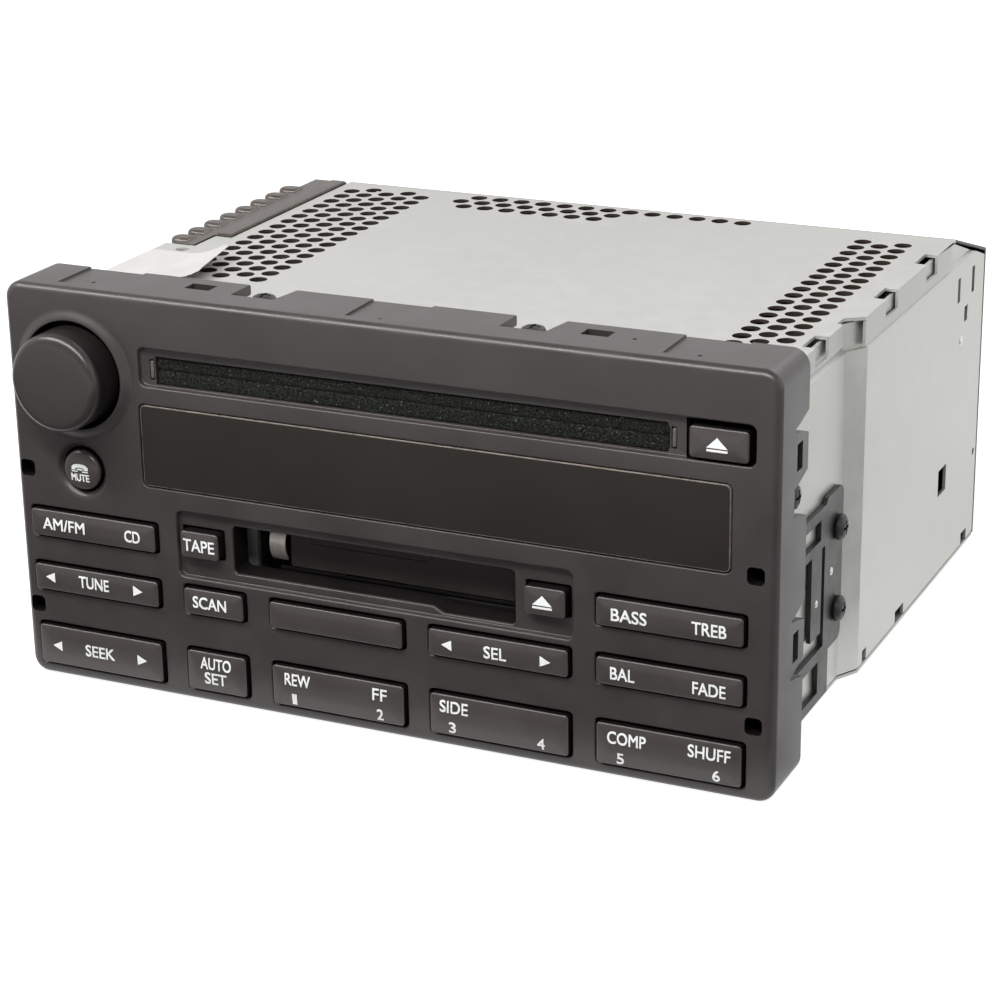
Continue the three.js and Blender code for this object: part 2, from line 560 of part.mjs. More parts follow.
// ---------------------------------------------------------------- electronics
function mainBoard() {
  const { x, y, z } = MAIN_BOARD;
  const top = z[1] - 0.1;
  const canSpots = [[-60, 40, 5], [-46, 40, 5], [60, 130, 6], [74, 116, 5]];
  const cans = canSpots.map(([cx, cy, r]) => rod('z', [cx, cy], r, [top, 19], 12));
  const chipSpots = [[[-30, -12], [50, 68]], [[10, 30], [104, 120]], [[50, 62], [60, 86]],
    [[-8, 2], [130, 142]]];
  const chips = chipSpots.map(([cx, cy]) => block(cx, cy, [top, 13]));
  return join(block(x, y, z), ...cans, ...chips);
}

function tunerModule() {
  return cut(block([-70, -24], [104, 148], [11, 26]), block([-68, -26], [106, 146], [10, 25]));
}

function amplifierChip() {
  const body = block([-76.6, -72], [78, 104], [22, 42]);
  const legs = Array.from({ length: 6 }, (_, k) => {
    const y = 80 + 4 * k;
    return block([-75, -74.2], [y, y + 1.2], [11, 22.1]);
  });
  return join(body, ...legs);
}

function powerConnector() {
  const shell = block(POWER.x, POWER.y, POWER.z);
  const cavity = block(widened(POWER.x, -1.4), [160, 175], widened(POWER.z, -1.4));
  const pins = Array.from({ length: 8 }, (_, k) => {
    const x = POWER.x[0] + 4 + (k * 32) / 7;
    return block([x - 0.4, x + 0.4], [159, 167], [24.6, 25.4]);
  });
  return join(cut(shell, cavity), ...pins);
}

function antennaSocket() {
  const at = [ANTENNA.x, ANTENNA.z];
  const barrel = cut(rod('y', at, ANTENNA.radius, [150, 171.6], 24), rod('y', at, 4, [156, 175], 20));
  return join(barrel, block([at[0] - 8, at[0] + 8], [148, 150.4], [at[1] - 8, at[1] + 8]));
}

function ribbonCable() {
  const path = [[11.7, 14.4], [27, 14.4], [29, 11]];
  const upper = path.map(([y, z]) => [y, z + 0.5]).reverse();
  upper[0] = [29.7, 11];
  return prism('x', outlineOf([...path, ...upper]), [-70, -46]);
}

// ---------------------------------------------------------------- disc mechanism
function cdDeckFrame() {
  const { x, y, z, plate } = CD_DECK;
  const base = block(x, y, [z[0], z[0] + plate]);
  const rails = [block([x[0], x[0] + plate], y, z), block([x[1] - plate, x[1]], y, z)];
  const backStop = block(x, [y[1] - plate, y[1]], [z[0], 78]);
  const motor = rod('z', [DISC.x, DISC.y], 12, [57, z[0] + 0.2], 24);
  const sledWindow = block([DISC.x - 12, DISC.x + 12], [96, 148], [60, 70]);
  const bore = rod('z', [DISC.x, DISC.y], 2.6, [60, 70], 16);
  const slopeCut = block([-70, 80], [140, 160], [82, 90]);
  const rollerHoles = rod('x', [22, 76.6], 1.6, [-70, 80], 12);
  return cut(join(base, ...rails, backStop, motor), sledWindow, bore, slopeCut, rollerHoles);
}

function cdTurntable() {
  const at = [DISC.x, DISC.y];
  return join(rod('z', at, 2.2, [60.5, 77], 16), rod('z', at, 14, [76.4, 79.6], 28),
    rod('z', at, 7.2, [79.5, 82.4], 20));
}

function cdFeedRoller() {
  return join(rod('x', [22, 76.6], 3, [-56, 70.4], 16), rod('x', [22, 76.6], 1.2, [-61.8, 76.2], 10));
}

function cdLaserPickup() {
  const sled = block([DISC.x - 11, DISC.x + 11], [97, 112], [67, 73.5]);
  return join(sled, rod('z', [DISC.x, 104], 3, [73.4, 76], 16));
}

// ---------------------------------------------------------------- cassette mechanism
const HEAD = { x: [36, 40.5], y: [61, 73], z: [34.5, 44] };
const CAPSTAN = [31.5, 80];

function tapeDeckFrame() {
  const { x, y, z, plate } = TAPE_DECK;
  const shell = cut(block(x, y, z), block(widened(x, -plate), [0, y[1] - plate], widened(z, -plate)));
  const ears = [[DOOR.x[0] - 2.2, DOOR.x[0] - 0.9], [DOOR.x[1] + 0.9, DOOR.x[1] + 2.2]].map((ex) => cut(
    block(ex, [8.8, y[0] + 2], [z[1] - 7.4, z[1] - 3.4]),
    rod('x', [DOOR.axisY, DOOR.axisZ], 1, [-40, 40], 12)));
  const arms = [[DOOR.x[0] - 2.2, DOOR.x[0] - 0.9], [DOOR.x[1] + 0.9, DOOR.x[1] + 2.2]].map(
    (ex) => block(ex, [y[0], y[0] + 2], [z[1] - 5, z[1]]));
  const hubHoles = REEL_Y.map((reelY) => rod('z', [TAPE_X, reelY], 5.4, [28, 32], 20));
  const capstanHole = rod('z', CAPSTAN, 1.7, [28, 32], 12);
  const motor = rod('z', [35, 108], 9, [z[0] + 0.5, 48], 20);
  return join(cut(join(shell, motor), ...hubHoles, capstanHole), ...ears, ...arms);
}

function reelSpindle(reelY) {
  const at = [TAPE_X, reelY];
  const lugs = [0, 1, 2].map((k) => block([3.6, 5], [-0.5, 0.5], [33.5, 40]).rotate([0, 0, 120 * k])
    .translate([at[0], at[1], 0]));
  return join(rod('z', at, 14, [26, 28.6], 28), rod('z', at, 4.2, [28.5, 41], 18), ...lugs);
}

function tapeFlywheel() {
  return join(rod('z', CAPSTAN, 16, [21, 25.4], 28), rod('z', CAPSTAN, 1.3, [25.3, 42], 12));
}

function tapeHead() {
  return cut(join(block(HEAD.x, HEAD.y, HEAD.z), block([34.6, 43.6], [62.5, 71.5], [30.8, 34.6])),
    block([35, 36.6], [62, 72], [40, 45]));
}

// ---------------------------------------------------------------- the assembly
piece('bezel', bezel(), LOOK.bezel);
ROCKERS.forEach(([name, column, row]) => piece(name, rocker(COLUMN[column], ROW[row]), LOOK.cap));
PUSH_BUTTONS.forEach(([name, x, z, proud]) => piece(name, pushButton(x, z, proud), LOOK.cap));
piece('mute_button', muteButton(), LOOK.cap);
piece('volume_knob', volumeKnob(), LOOK.cap);
piece('volume_shaft', rod('y', [KNOB.x, KNOB.z], SHAFT.radius, SHAFT.y, 20), LOOK.white);
piece('volume_encoder', volumeEncoder(), LOOK.blackPlastic);
piece('display_lens', displayLens(), LOOK.lens);
piece('display_module', displayModule(), LOOK.blackPlastic);
piece('cd_felt', cdFelt(), LOOK.felt);
piece('keypad_mat', keypadMat(), LOOK.rubber);
piece('front_board', frontBoard(), LOOK.board);
piece('tape_door', tapeDoor(), LOOK.cap);
piece('tape_guide_spring', guideSpring(), LOOK.spring);

piece('front_frame', frontFrame(), LOOK.steel);
piece('top_cover', topCover(), LOOK.steel);
piece('bottom_cover', bottomCover(), LOOK.steel);
piece('right_side', rightSide(), LOOK.steel);
piece('left_side', leftSide(), LOOK.steel);
piece('rear_panel', rearPanel(), LOOK.blackSteel);
piece('heat_sink', heatSink(), LOOK.heatSink);
piece('right_release_clip', releaseClip(1), LOOK.blackSteel);
piece('left_release_clip', releaseClip(-1), LOOK.blackSteel);
piece('label_sticker', labelSticker(), LOOK.label);

[['right', 1], ['left', -1]].forEach(([word, side]) => {
  const topX = TOP_SCREW.x[side > 0 ? 1 : 0];
  const topScrew = standing(screw(2.9, 7), topX, TOP_SCREW.y, TOP_SCREW.seat + GAP);
  piece(`bezel_screw_top_${word}`, topScrew, LOOK.blackSteel);
  const sideX = side * (SIDE_SCREW.seat + GAP);
  const sideScrew = lying(screw(2.9, 7), side, sideX, SIDE_SCREW.y, SIDE_SCREW.z);
  piece(`bezel_screw_${word}`, sideScrew, LOOK.blackSteel);
  ['upper', 'lower'].forEach((level, k) => {
    const x = side * (CASE.narrow + 1.3 + GAP);
    const clipScrew = lying(screw(3.1, 4), side, x, CLIP_SCREW.y, CLIP_SCREW.z[k]);
    piece(`${word}_clip_screw_${level}`, clipScrew, LOOK.blackSteel);
  });
});

piece('main_board', mainBoard(), LOOK.board);
piece('tuner_module', tunerModule(), LOOK.deck);
piece('amplifier_chip', amplifierChip(), LOOK.blackPlastic);
piece('power_connector', powerConnector(), LOOK.blackPlastic);
piece('antenna_socket', antennaSocket(), LOOK.deck);
piece('ribbon_cable', ribbonCable(), LOOK.white);

piece('cd_deck_frame', cdDeckFrame(), LOOK.deck);
piece('cd_turntable', cdTurntable(), LOOK.blackPlastic);
piece('cd_feed_roller', cdFeedRoller(), LOOK.blackPlastic);
piece('cd_laser_pickup', cdLaserPickup(), LOOK.blackPlastic);

piece('tape_deck_frame', tapeDeckFrame(), LOOK.deck);
piece('tape_spindle_front', reelSpindle(REEL_Y[0]), LOOK.white);
piece('tape_spindle_rear', reelSpindle(REEL_Y[1]), LOOK.white);
piece('tape_flywheel', tapeFlywheel(), LOOK.deck);
piece('tape_head', tapeHead(), LOOK.deck);

// The origin goes to the middle of the footprint, at the height of the bezel's lower edge.
const depth = [KNOB.front, CASE.rear + GAP + PANEL + PAD.height];
group.position.y = -middle(depth);

export default group;
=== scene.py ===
"""Looks of a double-height car radio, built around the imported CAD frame. Lengths in millimetres
are turned into metres by P(); X runs right, Y from the face to the back, Z up."""
import math

import bmesh
import bpy
from mathutils import Matrix, Vector, geometry, noise


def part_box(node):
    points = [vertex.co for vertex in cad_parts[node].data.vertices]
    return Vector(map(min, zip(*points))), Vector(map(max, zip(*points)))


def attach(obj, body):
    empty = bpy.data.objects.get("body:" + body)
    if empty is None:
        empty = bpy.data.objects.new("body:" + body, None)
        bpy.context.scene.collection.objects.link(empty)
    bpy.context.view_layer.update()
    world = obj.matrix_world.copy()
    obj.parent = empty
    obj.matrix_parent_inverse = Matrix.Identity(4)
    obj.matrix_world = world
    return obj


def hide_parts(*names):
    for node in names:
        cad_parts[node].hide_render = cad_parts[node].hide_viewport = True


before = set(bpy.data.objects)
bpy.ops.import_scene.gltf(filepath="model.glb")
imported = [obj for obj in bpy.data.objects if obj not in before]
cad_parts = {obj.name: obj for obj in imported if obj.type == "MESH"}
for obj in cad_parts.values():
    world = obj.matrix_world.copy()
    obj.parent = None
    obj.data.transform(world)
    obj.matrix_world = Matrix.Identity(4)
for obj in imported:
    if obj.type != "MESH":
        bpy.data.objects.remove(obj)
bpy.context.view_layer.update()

MM = 0.001
FACE_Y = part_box("bezel")[0][1]
ROOT = "chassis"


def P(x, y, z):
    """A point given in millimetres from the bottom middle of the bezel's face."""
    return Vector((x * MM, y * MM + FACE_Y, z * MM))


def node_span(name):
    """The box of a CAD node in the same millimetres as P()."""
    low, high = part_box(name)
    shift = Vector((0, FACE_Y, 0))
    low, high = (Vector(low) - shift) / MM, (Vector(high) - shift) / MM
    return [(low[k], high[k]) for k in range(3)]


def placed(name, data):
    """A new object for the data, linked into the scene."""
    thing = bpy.data.objects.new(name, data)
    bpy.context.scene.collection.objects.link(thing)
    return thing


# ---------------------------------------------------------------- camera
# place in millimetres, angles in degrees, focal length as a share of the picture's width
CAMERA = {"at": (266.37, -503.35, 264.5), "yaw": 25.041, "pitch": 20.061, "roll": -0.906, "focal": 2.7214}


def add_camera():
    data = bpy.data.cameras.new("camera")
    data.sensor_width = 36
    data.lens = CAMERA["focal"] * data.sensor_width
    data.clip_start, data.clip_end = 0.01, 20
    yaw, pitch, roll = (math.radians(CAMERA[key]) for key in ("yaw", "pitch", "roll"))
    forward = Vector((-math.sin(yaw) * math.cos(pitch), math.cos(yaw) * math.cos(pitch), -math.sin(pitch)))
    right = Vector((math.cos(yaw), math.sin(yaw), 0))
    up = right.cross(forward)
    rolled_right = right * math.cos(roll) + up * math.sin(roll)
    rolled_up = up * math.cos(roll) - right * math.sin(roll)
    camera = placed("camera", data)
    turn = Matrix((rolled_right, rolled_up, -forward)).transposed()
    camera.matrix_world = Matrix.Translation(P(*CAMERA["at"])) @ turn.to_4x4()
    bpy.context.scene.camera = camera


add_camera()


# ---------------------------------------------------------------- materials
def wired(tree, kind, *inputs, **values):
    """A node whose inputs, in turn, are linked to a socket or set to a value."""
    node = tree.nodes.new(kind)
    for key, value in values.items():
        setattr(node, key, value)
    for socket, value in zip(node.inputs, inputs):
        if isinstance(value, bpy.types.NodeSocket):
            tree.links.new(value, socket)
        else:
            socket.default_value = value
    return node


class Nodes:
    """A short hand for making one node material."""

    def __init__(self, name):
        self.material = bpy.data.materials.new(name)
        self.material.use_nodes = True
        self.tree = self.material.node_tree
        self.tree.nodes.clear()
        self.output = self.add("ShaderNodeOutputMaterial")
        self.shader = self.add("ShaderNodeBsdfPrincipled")
        self.link(self.shader.outputs[0], self.output.inputs[0])
        self.place = self.add("ShaderNodeTexCoord").outputs["Object"]

    def add(self, kind, *inputs, **values):
        return wired(self.tree, kind, *inputs, **values)

    def link(self, source, target):
        self.tree.links.new(source, target)

    def noise(self, scale, detail=2.0, rough=0.5, stretch=None):
        node = self.add("ShaderNodeTexNoise")
        node.inputs["Scale"].default_value = scale
        node.inputs["Detail"].default_value = detail
        node.inputs["Roughness"].default_value = rough
        source = self.place
        if stretch:
            mapping = self.add("ShaderNodeMapping", source)
            mapping.inputs["Scale"].default_value = stretch
            source = mapping.outputs[0]
        self.link(source, node.inputs["Vector"])
        return node.outputs["Fac"]

    def spread(self, value, low, high, new_low=0.0, new_high=1.0):
        return self.add("ShaderNodeMapRange", value, low, high, new_low, new_high).outputs[0]

    def mix(self, factor, first, second, blend="MIX"):
        node = self.add("ShaderNodeMix", data_type="RGBA", blend_type=blend)
        if isinstance(factor, float):
            node.inputs[0].default_value = factor
        else:
            self.link(factor, node.inputs[0])
        for socket, colour in ((node.inputs[6], first), (node.inputs[7], second)):
            if isinstance(colour, tuple):
                socket.default_value = (*colour, 1)
            else:
                self.link(colour, socket)
        return node.outputs[2]

    def set(self, socket, value):
        if isinstance(value, tuple):
            self.shader.inputs[socket].default_value = (*value, 1)
        elif isinstance(value, (int, float)):
            self.shader.inputs[socket].default_value = value
        else:
            self.link(value, self.shader.inputs[socket])

    def bump(self, *layers):
        """Each layer is (height, distance in metres); the last one is on top."""
        normal = None
        for height, distance in layers:
            node = self.add("ShaderNodeBump")
            node.inputs["Strength"].default_value = 1
            node.inputs["Distance"].default_value = distance
            self.link(height, node.inputs["Height"])
            if normal:
                self.link(normal, node.inputs["Normal"])
            normal = node.outputs[0]
        self.link(normal, self.shader.inputs["Normal"])


def plastic(name, dark, light, rough, specular=0.5, grain=5200, depth=0.000012, mottle=60):
    """Moulded plastic with a spark-eroded grain and a faint cloudiness."""
    m = Nodes(name)
    fine = m.noise(grain, 1.5, 0.6)
    cloud = m.noise(mottle, 3, 0.6)
    tone = m.mix(m.spread(cloud, 0.35, 0.65), dark, light)
    m.set("Base Color", m.mix(m.spread(fine, 0.3, 0.7, 0.0, 0.55), tone, light))
    m.set("Roughness", m.spread(cloud, 0.3, 0.7, rough - 0.04, rough + 0.05))
    m.set("Specular IOR Level", specular)
    m.bump((fine, depth))
    return m.material


def steel(name, dark, light, rough, metal, streak=(1, 1, 1), spangle=180, scratches=0.25, depth=0.000008):
    """Rolled sheet with a faint zinc bloom, handling marks and a slight waviness."""
    m = Nodes(name)
    bloom = m.noise(spangle, 4, 0.62)
    broad = m.noise(16, 2, 0.5)
    brushed = m.noise(900, 3, 0.7, streak)
    tone = m.mix(m.spread(bloom, 0.3, 0.7), dark, light)
    tone = m.mix(m.spread(broad, 0.35, 0.65, 0.0, 0.35), tone, light)
    m.set("Base Color", m.mix(m.spread(brushed, 0.35, 0.65, 0.0, scratches), tone, dark))
    m.set("Roughness", m.spread(bloom, 0.3, 0.7, rough - 0.06, rough + 0.07))
    m.set("Metallic", metal)
    m.bump((bloom, depth), (brushed, depth / 3))
    return m.material


def felt_material():
    """Black pile with pale fibres caught in it."""
    m = Nodes("felt_pile")
    fibre = m.noise(2300, 2, 0.7)
    speck = m.noise(1700, 2, 0.65)
    tone = m.mix(m.spread(fibre, 0.4, 0.6), (0.0015, 0.0018, 0.0014), (0.022, 0.0245, 0.0205))
    m.set("Base Color", m.mix(m.spread(speck, 0.64, 0.74), tone, (0.13, 0.142, 0.122)))
    m.set("Roughness", 0.95)
    m.set("Specular IOR Level", 0.08)
    m.set("Sheen Weight", 0.08)
    m.bump((fibre, 0.00015))
    return m.material


def board_material():
    """Green solder mask with pale traces."""
    m = Nodes("board_mask")
    wave = m.add("ShaderNodeTexWave", wave_type="BANDS", bands_direction="DIAGONAL")
    wave.inputs["Scale"].default_value = 130
    wave.inputs["Distortion"].default_value = 6
    m.link(m.place, wave.inputs["Vector"])
    cloud = m.noise(90, 3)
    mask = m.mix(m.spread(cloud, 0.35, 0.65), (0.012, 0.05, 0.022), (0.02, 0.08, 0.035))
    m.set("Base Color", m.mix(m.spread(wave.outputs["Fac"], 0.82, 0.9), mask, (0.05, 0.14, 0.06)))
    m.set("Roughness", m.spread(cloud, 0.3, 0.7, 0.35, 0.5))
    m.bump((wave.outputs["Fac"], 0.00002))
    return m.material


def label_material():
    """White label stock, slightly wavy, greyer where it has been handled."""
    m = Nodes("label_paper")
    cloud = m.noise(70, 4, 0.6)
    fine = m.noise(1800, 2)
    m.set("Base Color", m.mix(m.spread(cloud, 0.35, 0.7), (0.5, 0.485, 0.48), (0.58, 0.565, 0.56)))
    m.set("Roughness", m.spread(cloud, 0.3, 0.7, 0.45, 0.6))
    m.bump((cloud, 0.00015), (fine, 0.00001))
    return m.material


SATIN = (7000, 0.000006)  # grain and depth of a finely eroded face
GLASSY = (3000, 0.000002)

LOOK = {
    "bezel": plastic("bezel_grain", (0.033, 0.0285, 0.0275), (0.047, 0.0405, 0.039), 0.36, 0.5),
    # painted shade: a near-black copy of the bezel plastic for hollows, cups and the walls behind openings
    "hollow": plastic("hollow_painted_shade", (0.0035, 0.003, 0.003), (0.006, 0.0052, 0.005), 0.6, 0.1),
    # painted shade: a darker copy of the bezel plastic for the cassette bay's tunnel and sill
    "bay": plastic("bay_painted_shade", (0.006, 0.0052, 0.005), (0.01, 0.0087, 0.0083), 0.5, 0.14),
    # painted shade: the cassette door's plastic, darker for lying deep in its bay
    "flap": plastic("flap_painted_shade", (0.03, 0.0258, 0.0246), (0.042, 0.0362, 0.0346), 0.5, 0.25),
    "cap": plastic("cap_satin", (0.047, 0.0403, 0.0385), (0.06, 0.0516, 0.0492), 0.32, 0.5, *SATIN),
    # painted shade: a near-black copy of the key plastic for the keys' walls and flanges
    "cap_wall_painted_shade": plastic("cap_shade", (0.004, 0.0036, 0.0036), (0.007, 0.0062, 0.006), 0.5, 0.14, *SATIN),
    "knob": plastic("knob_satin", (0.0275, 0.0235, 0.0226), (0.0325, 0.028, 0.0269), 0.3, 0.5, *SATIN, 15),
    # painted shade: a darker copy of the knob plastic for its side and inside
    "knob_wall_painted_shade": plastic("knob_shade", (0.009, 0.0078, 0.0075), (0.014, 0.0122, 0.0118), 0.34, 0.25,
                         *SATIN),
    "lens": plastic("lens_smoke", (0.0165, 0.0138, 0.0117), (0.0215, 0.0182, 0.0157), 0.33, 0.3,
                    *GLASSY, 25),
    # painted highlight: the window's rounded edge and wall, several times lighter than the window
    "lens_rim_painted_highlight": plastic("lens_edge_painted_highlight", (0.07, 0.057, 0.047), (0.18, 0.15, 0.125), 0.3, 0.5, *GLASSY, 400),
    "post": plastic("felt_post", (0.085, 0.073, 0.068), (0.13, 0.112, 0.104), 0.4, 0.3, 3000, 0.00001, 300),
    "ink": plastic("print_ink", (0.78, 0.79, 0.78), (0.93, 0.94, 0.93), 0.5, 0.4, 3800, 0.00001, 240),
    "felt": felt_material(),
    "steel": steel("zinc_sheet", (0.475, 0.47, 0.452), (0.55, 0.546, 0.525), 0.44, 0.45),
    "steel_side": steel("zinc_side", (0.47, 0.47, 0.447), (0.55, 0.55, 0.527), 0.4, 0.74, (1, 3, 0.25),
                        120, 0.35),
    "black_steel": steel("black_enamel", (0.02, 0.018, 0.0175), (0.04, 0.037, 0.036), 0.42, 0.25),
    "aluminium": steel("dark_cast", (0.082, 0.068, 0.06), (0.16, 0.137, 0.124), 0.4, 0.6, (1, 1, 0.2), 320),
    "label": label_material(),
    # painted shade: a dark look for the sheet under the vents and for the vent holes' walls
    "film": plastic("vent_hole_painted_shade", (0.024, 0.018, 0.0155), (0.044, 0.0335, 0.029), 0.7, 0.08,
                    900, 0.00002, 120),
    "board": board_material(),
    "silicone": plastic("keypad_silicone", (0.42, 0.41, 0.37), (0.52, 0.5, 0.46), 0.8, 0.3),
    "black_plastic": plastic("black_moulding", (0.008, 0.008, 0.0085), (0.016, 0.016, 0.017), 0.45),
    "plated": steel("plated_deck", (0.26, 0.26, 0.255), (0.42, 0.42, 0.41), 0.35, 0.85),
    "pale": plastic("pale_moulding", (0.6, 0.58, 0.52), (0.72, 0.69, 0.63), 0.5),
    "spring": steel("spring_strip", (0.48, 0.43, 0.39), (0.78, 0.715, 0.66), 0.36, 0.7, (1, 1, 0.15)),
    "rivet": steel("rivet_bright", (0.5, 0.49, 0.46), (0.72, 0.71, 0.68), 0.3, 0.9),
}


# ---------------------------------------------------------------- mesh kit
SHARP = 35  # degrees from which an edge stays sharp


def widened(span, by):
    return (span[0] - by, span[1] + by)


def middle(span):
    return (span[0] + span[1]) / 2


def rounded(u, v, radius, steps=4):
    """A rounded rectangle, anticlockwise from its lower right corner. Radius is one number or four."""
    radii = radius if isinstance(radius, tuple) else (radius,) * 4
    corners = [(u[1], v[0], -1, 1), (u[1], v[1], -1, -1), (u[0], v[1], 1, -1), (u[0], v[0], 1, 1)]
    points = []
    for quadrant, ((cu, cv, du, dv), r) in enumerate(zip(corners, radii)):
        for k in range(steps + 1):
            angle = math.radians(90 * (quadrant - 1) + 90 * k / steps)
            points.append((cu + du * r + r * math.cos(angle), cv + dv * r + r * math.sin(angle)))
    return points


def circle(u, v, radius, sides=48):
    return [(u + radius * math.cos(2 * math.pi * k / sides), v + radius * math.sin(2 * math.pi * k / sides))
            for k in range(sides)]


def grow(outline, by):
    """The outline moved outwards, corner by corner; it keeps its number of points."""
    if abs(by) < 1e-9:
        return list(outline)
    count = len(outline)
    moved = []
    for k in range(count):
        before, here, after = Vector(outline[k - 1]), Vector(outline[k]), Vector(outline[(k + 1) % count])
        first, second = (here - before).normalized(), (after - here).normalized()
        normal = Vector((first.y, -first.x)) + Vector((second.y, -second.x))
        normal.normalize()
        scale = max(0.3, normal.dot(Vector((first.y, -first.x))))
        moved.append(tuple(here + normal * (by / scale)))
    return moved


def quarter(radius, depth, sign, steps=3):
    """(offset, depth) pairs of a rounded edge from the surface at `depth` down its wall."""
    pairs = []
    for k in range(steps + 1):
        angle = math.pi / 2 * k / steps
        pairs.append((sign * radius * (1 - math.sin(angle)), depth + radius * (1 - math.cos(angle))))
    return pairs


def inside(outline, spot):
    """Whether a flat closed outline holds the spot."""
    held = False
    for a, b in zip(outline, outline[1:] + outline[:1]):
        if (a.y > spot.y) != (b.y > spot.y) and spot.x < (b.x - a.x) * (spot.y - a.y) / (b.y - a.y) + a.x:
            held = not held
    return held


class Shape:
    """Rings of points joined by bands and filled outlines, in a plane that `place` sets up."""

    def __init__(self, place=lambda u, v, d: P(u, d, v)):
        self.place = place
        self.points, self.flat, self.faces, self.slots = [], [], [], []

    def ring(self, outline, depth):
        start = len(self.points)
        self.points += [self.place(u, v, depth) for u, v in outline]
        self.flat += [Vector((u, v, 0)) for u, v in outline]
        return list(range(start, len(self.points)))

    def face(self, corners, slot=0):
        self.faces.append(tuple(corners))
        self.slots.append(slot)

    def band(self, first, second, slot=0):
        for k, here in enumerate(first):
            after = (k + 1) % len(first)
            self.face((here, first[after], second[after], second[k]), slot)

    def loft(self, outline, pairs, slot=0, slots=None):
        """Rings at (offset, depth) pairs, joined in turn. Returns the first and the last."""
        rings = [self.ring(grow(outline, offset), depth) for offset, depth in pairs]
        for k in range(len(rings) - 1):
            self.band(rings[k], rings[k + 1], slots[k] if slots else slot)
        return rings[0], rings[-1]

    def fill(self, outer, holes=(), slot=0):
        """A flat face inside `outer` with the holes left open, cut into triangles."""
        loops = [outer, *holes]
        index = [i for loop in loops for i in loop]
        edges, start = [], 0
        for loop in loops:
            edges += [(start + k, start + (k + 1) % len(loop)) for k in range(len(loop))]
            start += len(loop)
        spots = [self.flat[i].to_2d() for i in index]
        _, _, faces, origin, _, _ = geometry.delaunay_2d_cdt(spots, edges, [], 1, 1e-7)
        flat_holes = [[self.flat[i] for i in hole] for hole in holes]
        boxes = [(min(p.x for p in h), max(p.x for p in h), min(p.y for p in h), max(p.y for p in h))
                 for h in flat_holes]
        for face in faces:
            corners = [index[origin[i][0]] for i in face]
            centre = sum((self.flat[i] for i in corners), Vector()) / 3
            if not any(box[0] < centre.x < box[1] and box[2] < centre.y < box[3] and inside(hole, centre)
                       for hole, box in zip(flat_holes, boxes)):
                self.face(corners, slot)

    def solid(self, outline, pairs):
        """A loft with both of its ends closed."""
        for end in self.loft(outline, pairs):
            self.fill(end)
        return self

    def revolve(self, centre, profile, sides, slots=None):
        """A body of revolution from (radius, depth) pairs, closed flat at both ends."""
        slots = slots or [0] * (len(profile) - 1)
        rings = [self.ring(circle(*centre, radius, sides), depth) for radius, depth in profile]
        for first, second, slot in zip(rings, rings[1:], slots):
            self.band(first, second, slot)
        self.fill(rings[0], slot=slots[0])
        self.fill(rings[-1], slot=slots[-1])
        return self

    def object(self, name, looks, angle=SHARP):
        mesh = bpy.data.meshes.new(name)
        mesh.from_pydata(self.points, [], self.faces)
        mesh.polygons.foreach_set("material_index", self.slots)
        return finish_mesh(name, mesh, looks, angle)


def bake(work, mesh):
    """Ends the bmesh and leaves its shape in the mesh."""
    work.to_mesh(mesh)
    work.free()


def face_outwards(mesh):
    work = bmesh.new()
    work.from_mesh(mesh)
    bmesh.ops.recalc_face_normals(work, faces=work.faces)
    bake(work, mesh)


def shade(mesh, angle):
    """Smooth shading that stays sharp at edges over the angle."""
    mesh.polygons.foreach_set("use_smooth", [True] * len(mesh.polygons))
    mesh.set_sharp_from_angle(angle=math.radians(angle))


def even_shading(piece):
    modifier = piece.modifiers.new("even_shading", "WEIGHTED_NORMAL")
    modifier.keep_sharp, modifier.weight = True, 80


def finish_mesh(name, mesh, looks, angle=SHARP, weighted=True):
    face_outwards(mesh)
    shade(mesh, angle)
    for look in looks:
        mesh.materials.append(LOOK[look])
    piece = placed(name, mesh)
    if weighted:
        even_shading(piece)
    return piece


def rides(piece, body, slot, *nodes):
    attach(piece, body)
    if nodes:
        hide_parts(*nodes)
    return piece


def prism(outline, span, place):
    """A closed prism for cutting or joining."""
    return Shape(place).solid(outline, [(0, depth) for depth in span])


ACROSS = {
    "x": lambda u, v, d: P(d, u, v),
    "y": lambda u, v, d: P(u, d, v),
    "z": lambda u, v, d: P(u, v, d),
}


def block(x, y, z):
    return prism([(x[0], z[0]), (x[1], z[0]), (x[1], z[1]), (x[0], z[1])], y, ACROSS["y"])


def raw_object(shapes):
    """One bare object out of closed shapes, to be used by a boolean and then removed."""
    mesh = bpy.data.meshes.new("tool")
    points, faces = [], []
    for shape in shapes:
        start = len(points)
        points += shape.points
        faces += [tuple(i + start for i in face) for face in shape.faces]
    mesh.from_pydata(points, [], faces)
    face_outwards(mesh)
    return placed("tool", mesh)


def combine(piece, shapes, operation):
    """A boolean whose result is kept as the piece's mesh, with its even shading."""
    tool = raw_object(shapes)
    piece.modifiers.clear()
    modifier = piece.modifiers.new("boolean", "BOOLEAN")
    modifier.operation, modifier.object, modifier.solver = operation, tool, "EXACT"
    graph = bpy.context.evaluated_depsgraph_get()
    result = bpy.data.meshes.new_from_object(piece.evaluated_get(graph))
    piece.modifiers.clear()
    piece.data = result
    bpy.data.objects.remove(tool)
    even_shading(piece)


def soften(piece, width, choose, segments=2, angle=30):
    """Rounds the sharp edges that `choose` accepts, then sets the shading again."""
    work = bmesh.new()
    work.from_mesh(piece.data)
    bmesh.ops.remove_doubles(work, verts=work.verts, dist=1e-6)
    limit = math.radians(angle)
    edges = [edge for edge in work.edges if len(edge.link_faces) == 2 and edge.calc_face_angle(0) > limit
             and all(choose(v.co) for v in edge.verts)]
    bmesh.ops.bevel(work, geom=edges, offset=width * MM, segments=segments, profile=0.5, affect="EDGES",
                    clamp_overlap=True)
    bake(work, piece.data)
    shade(piece.data, SHARP)


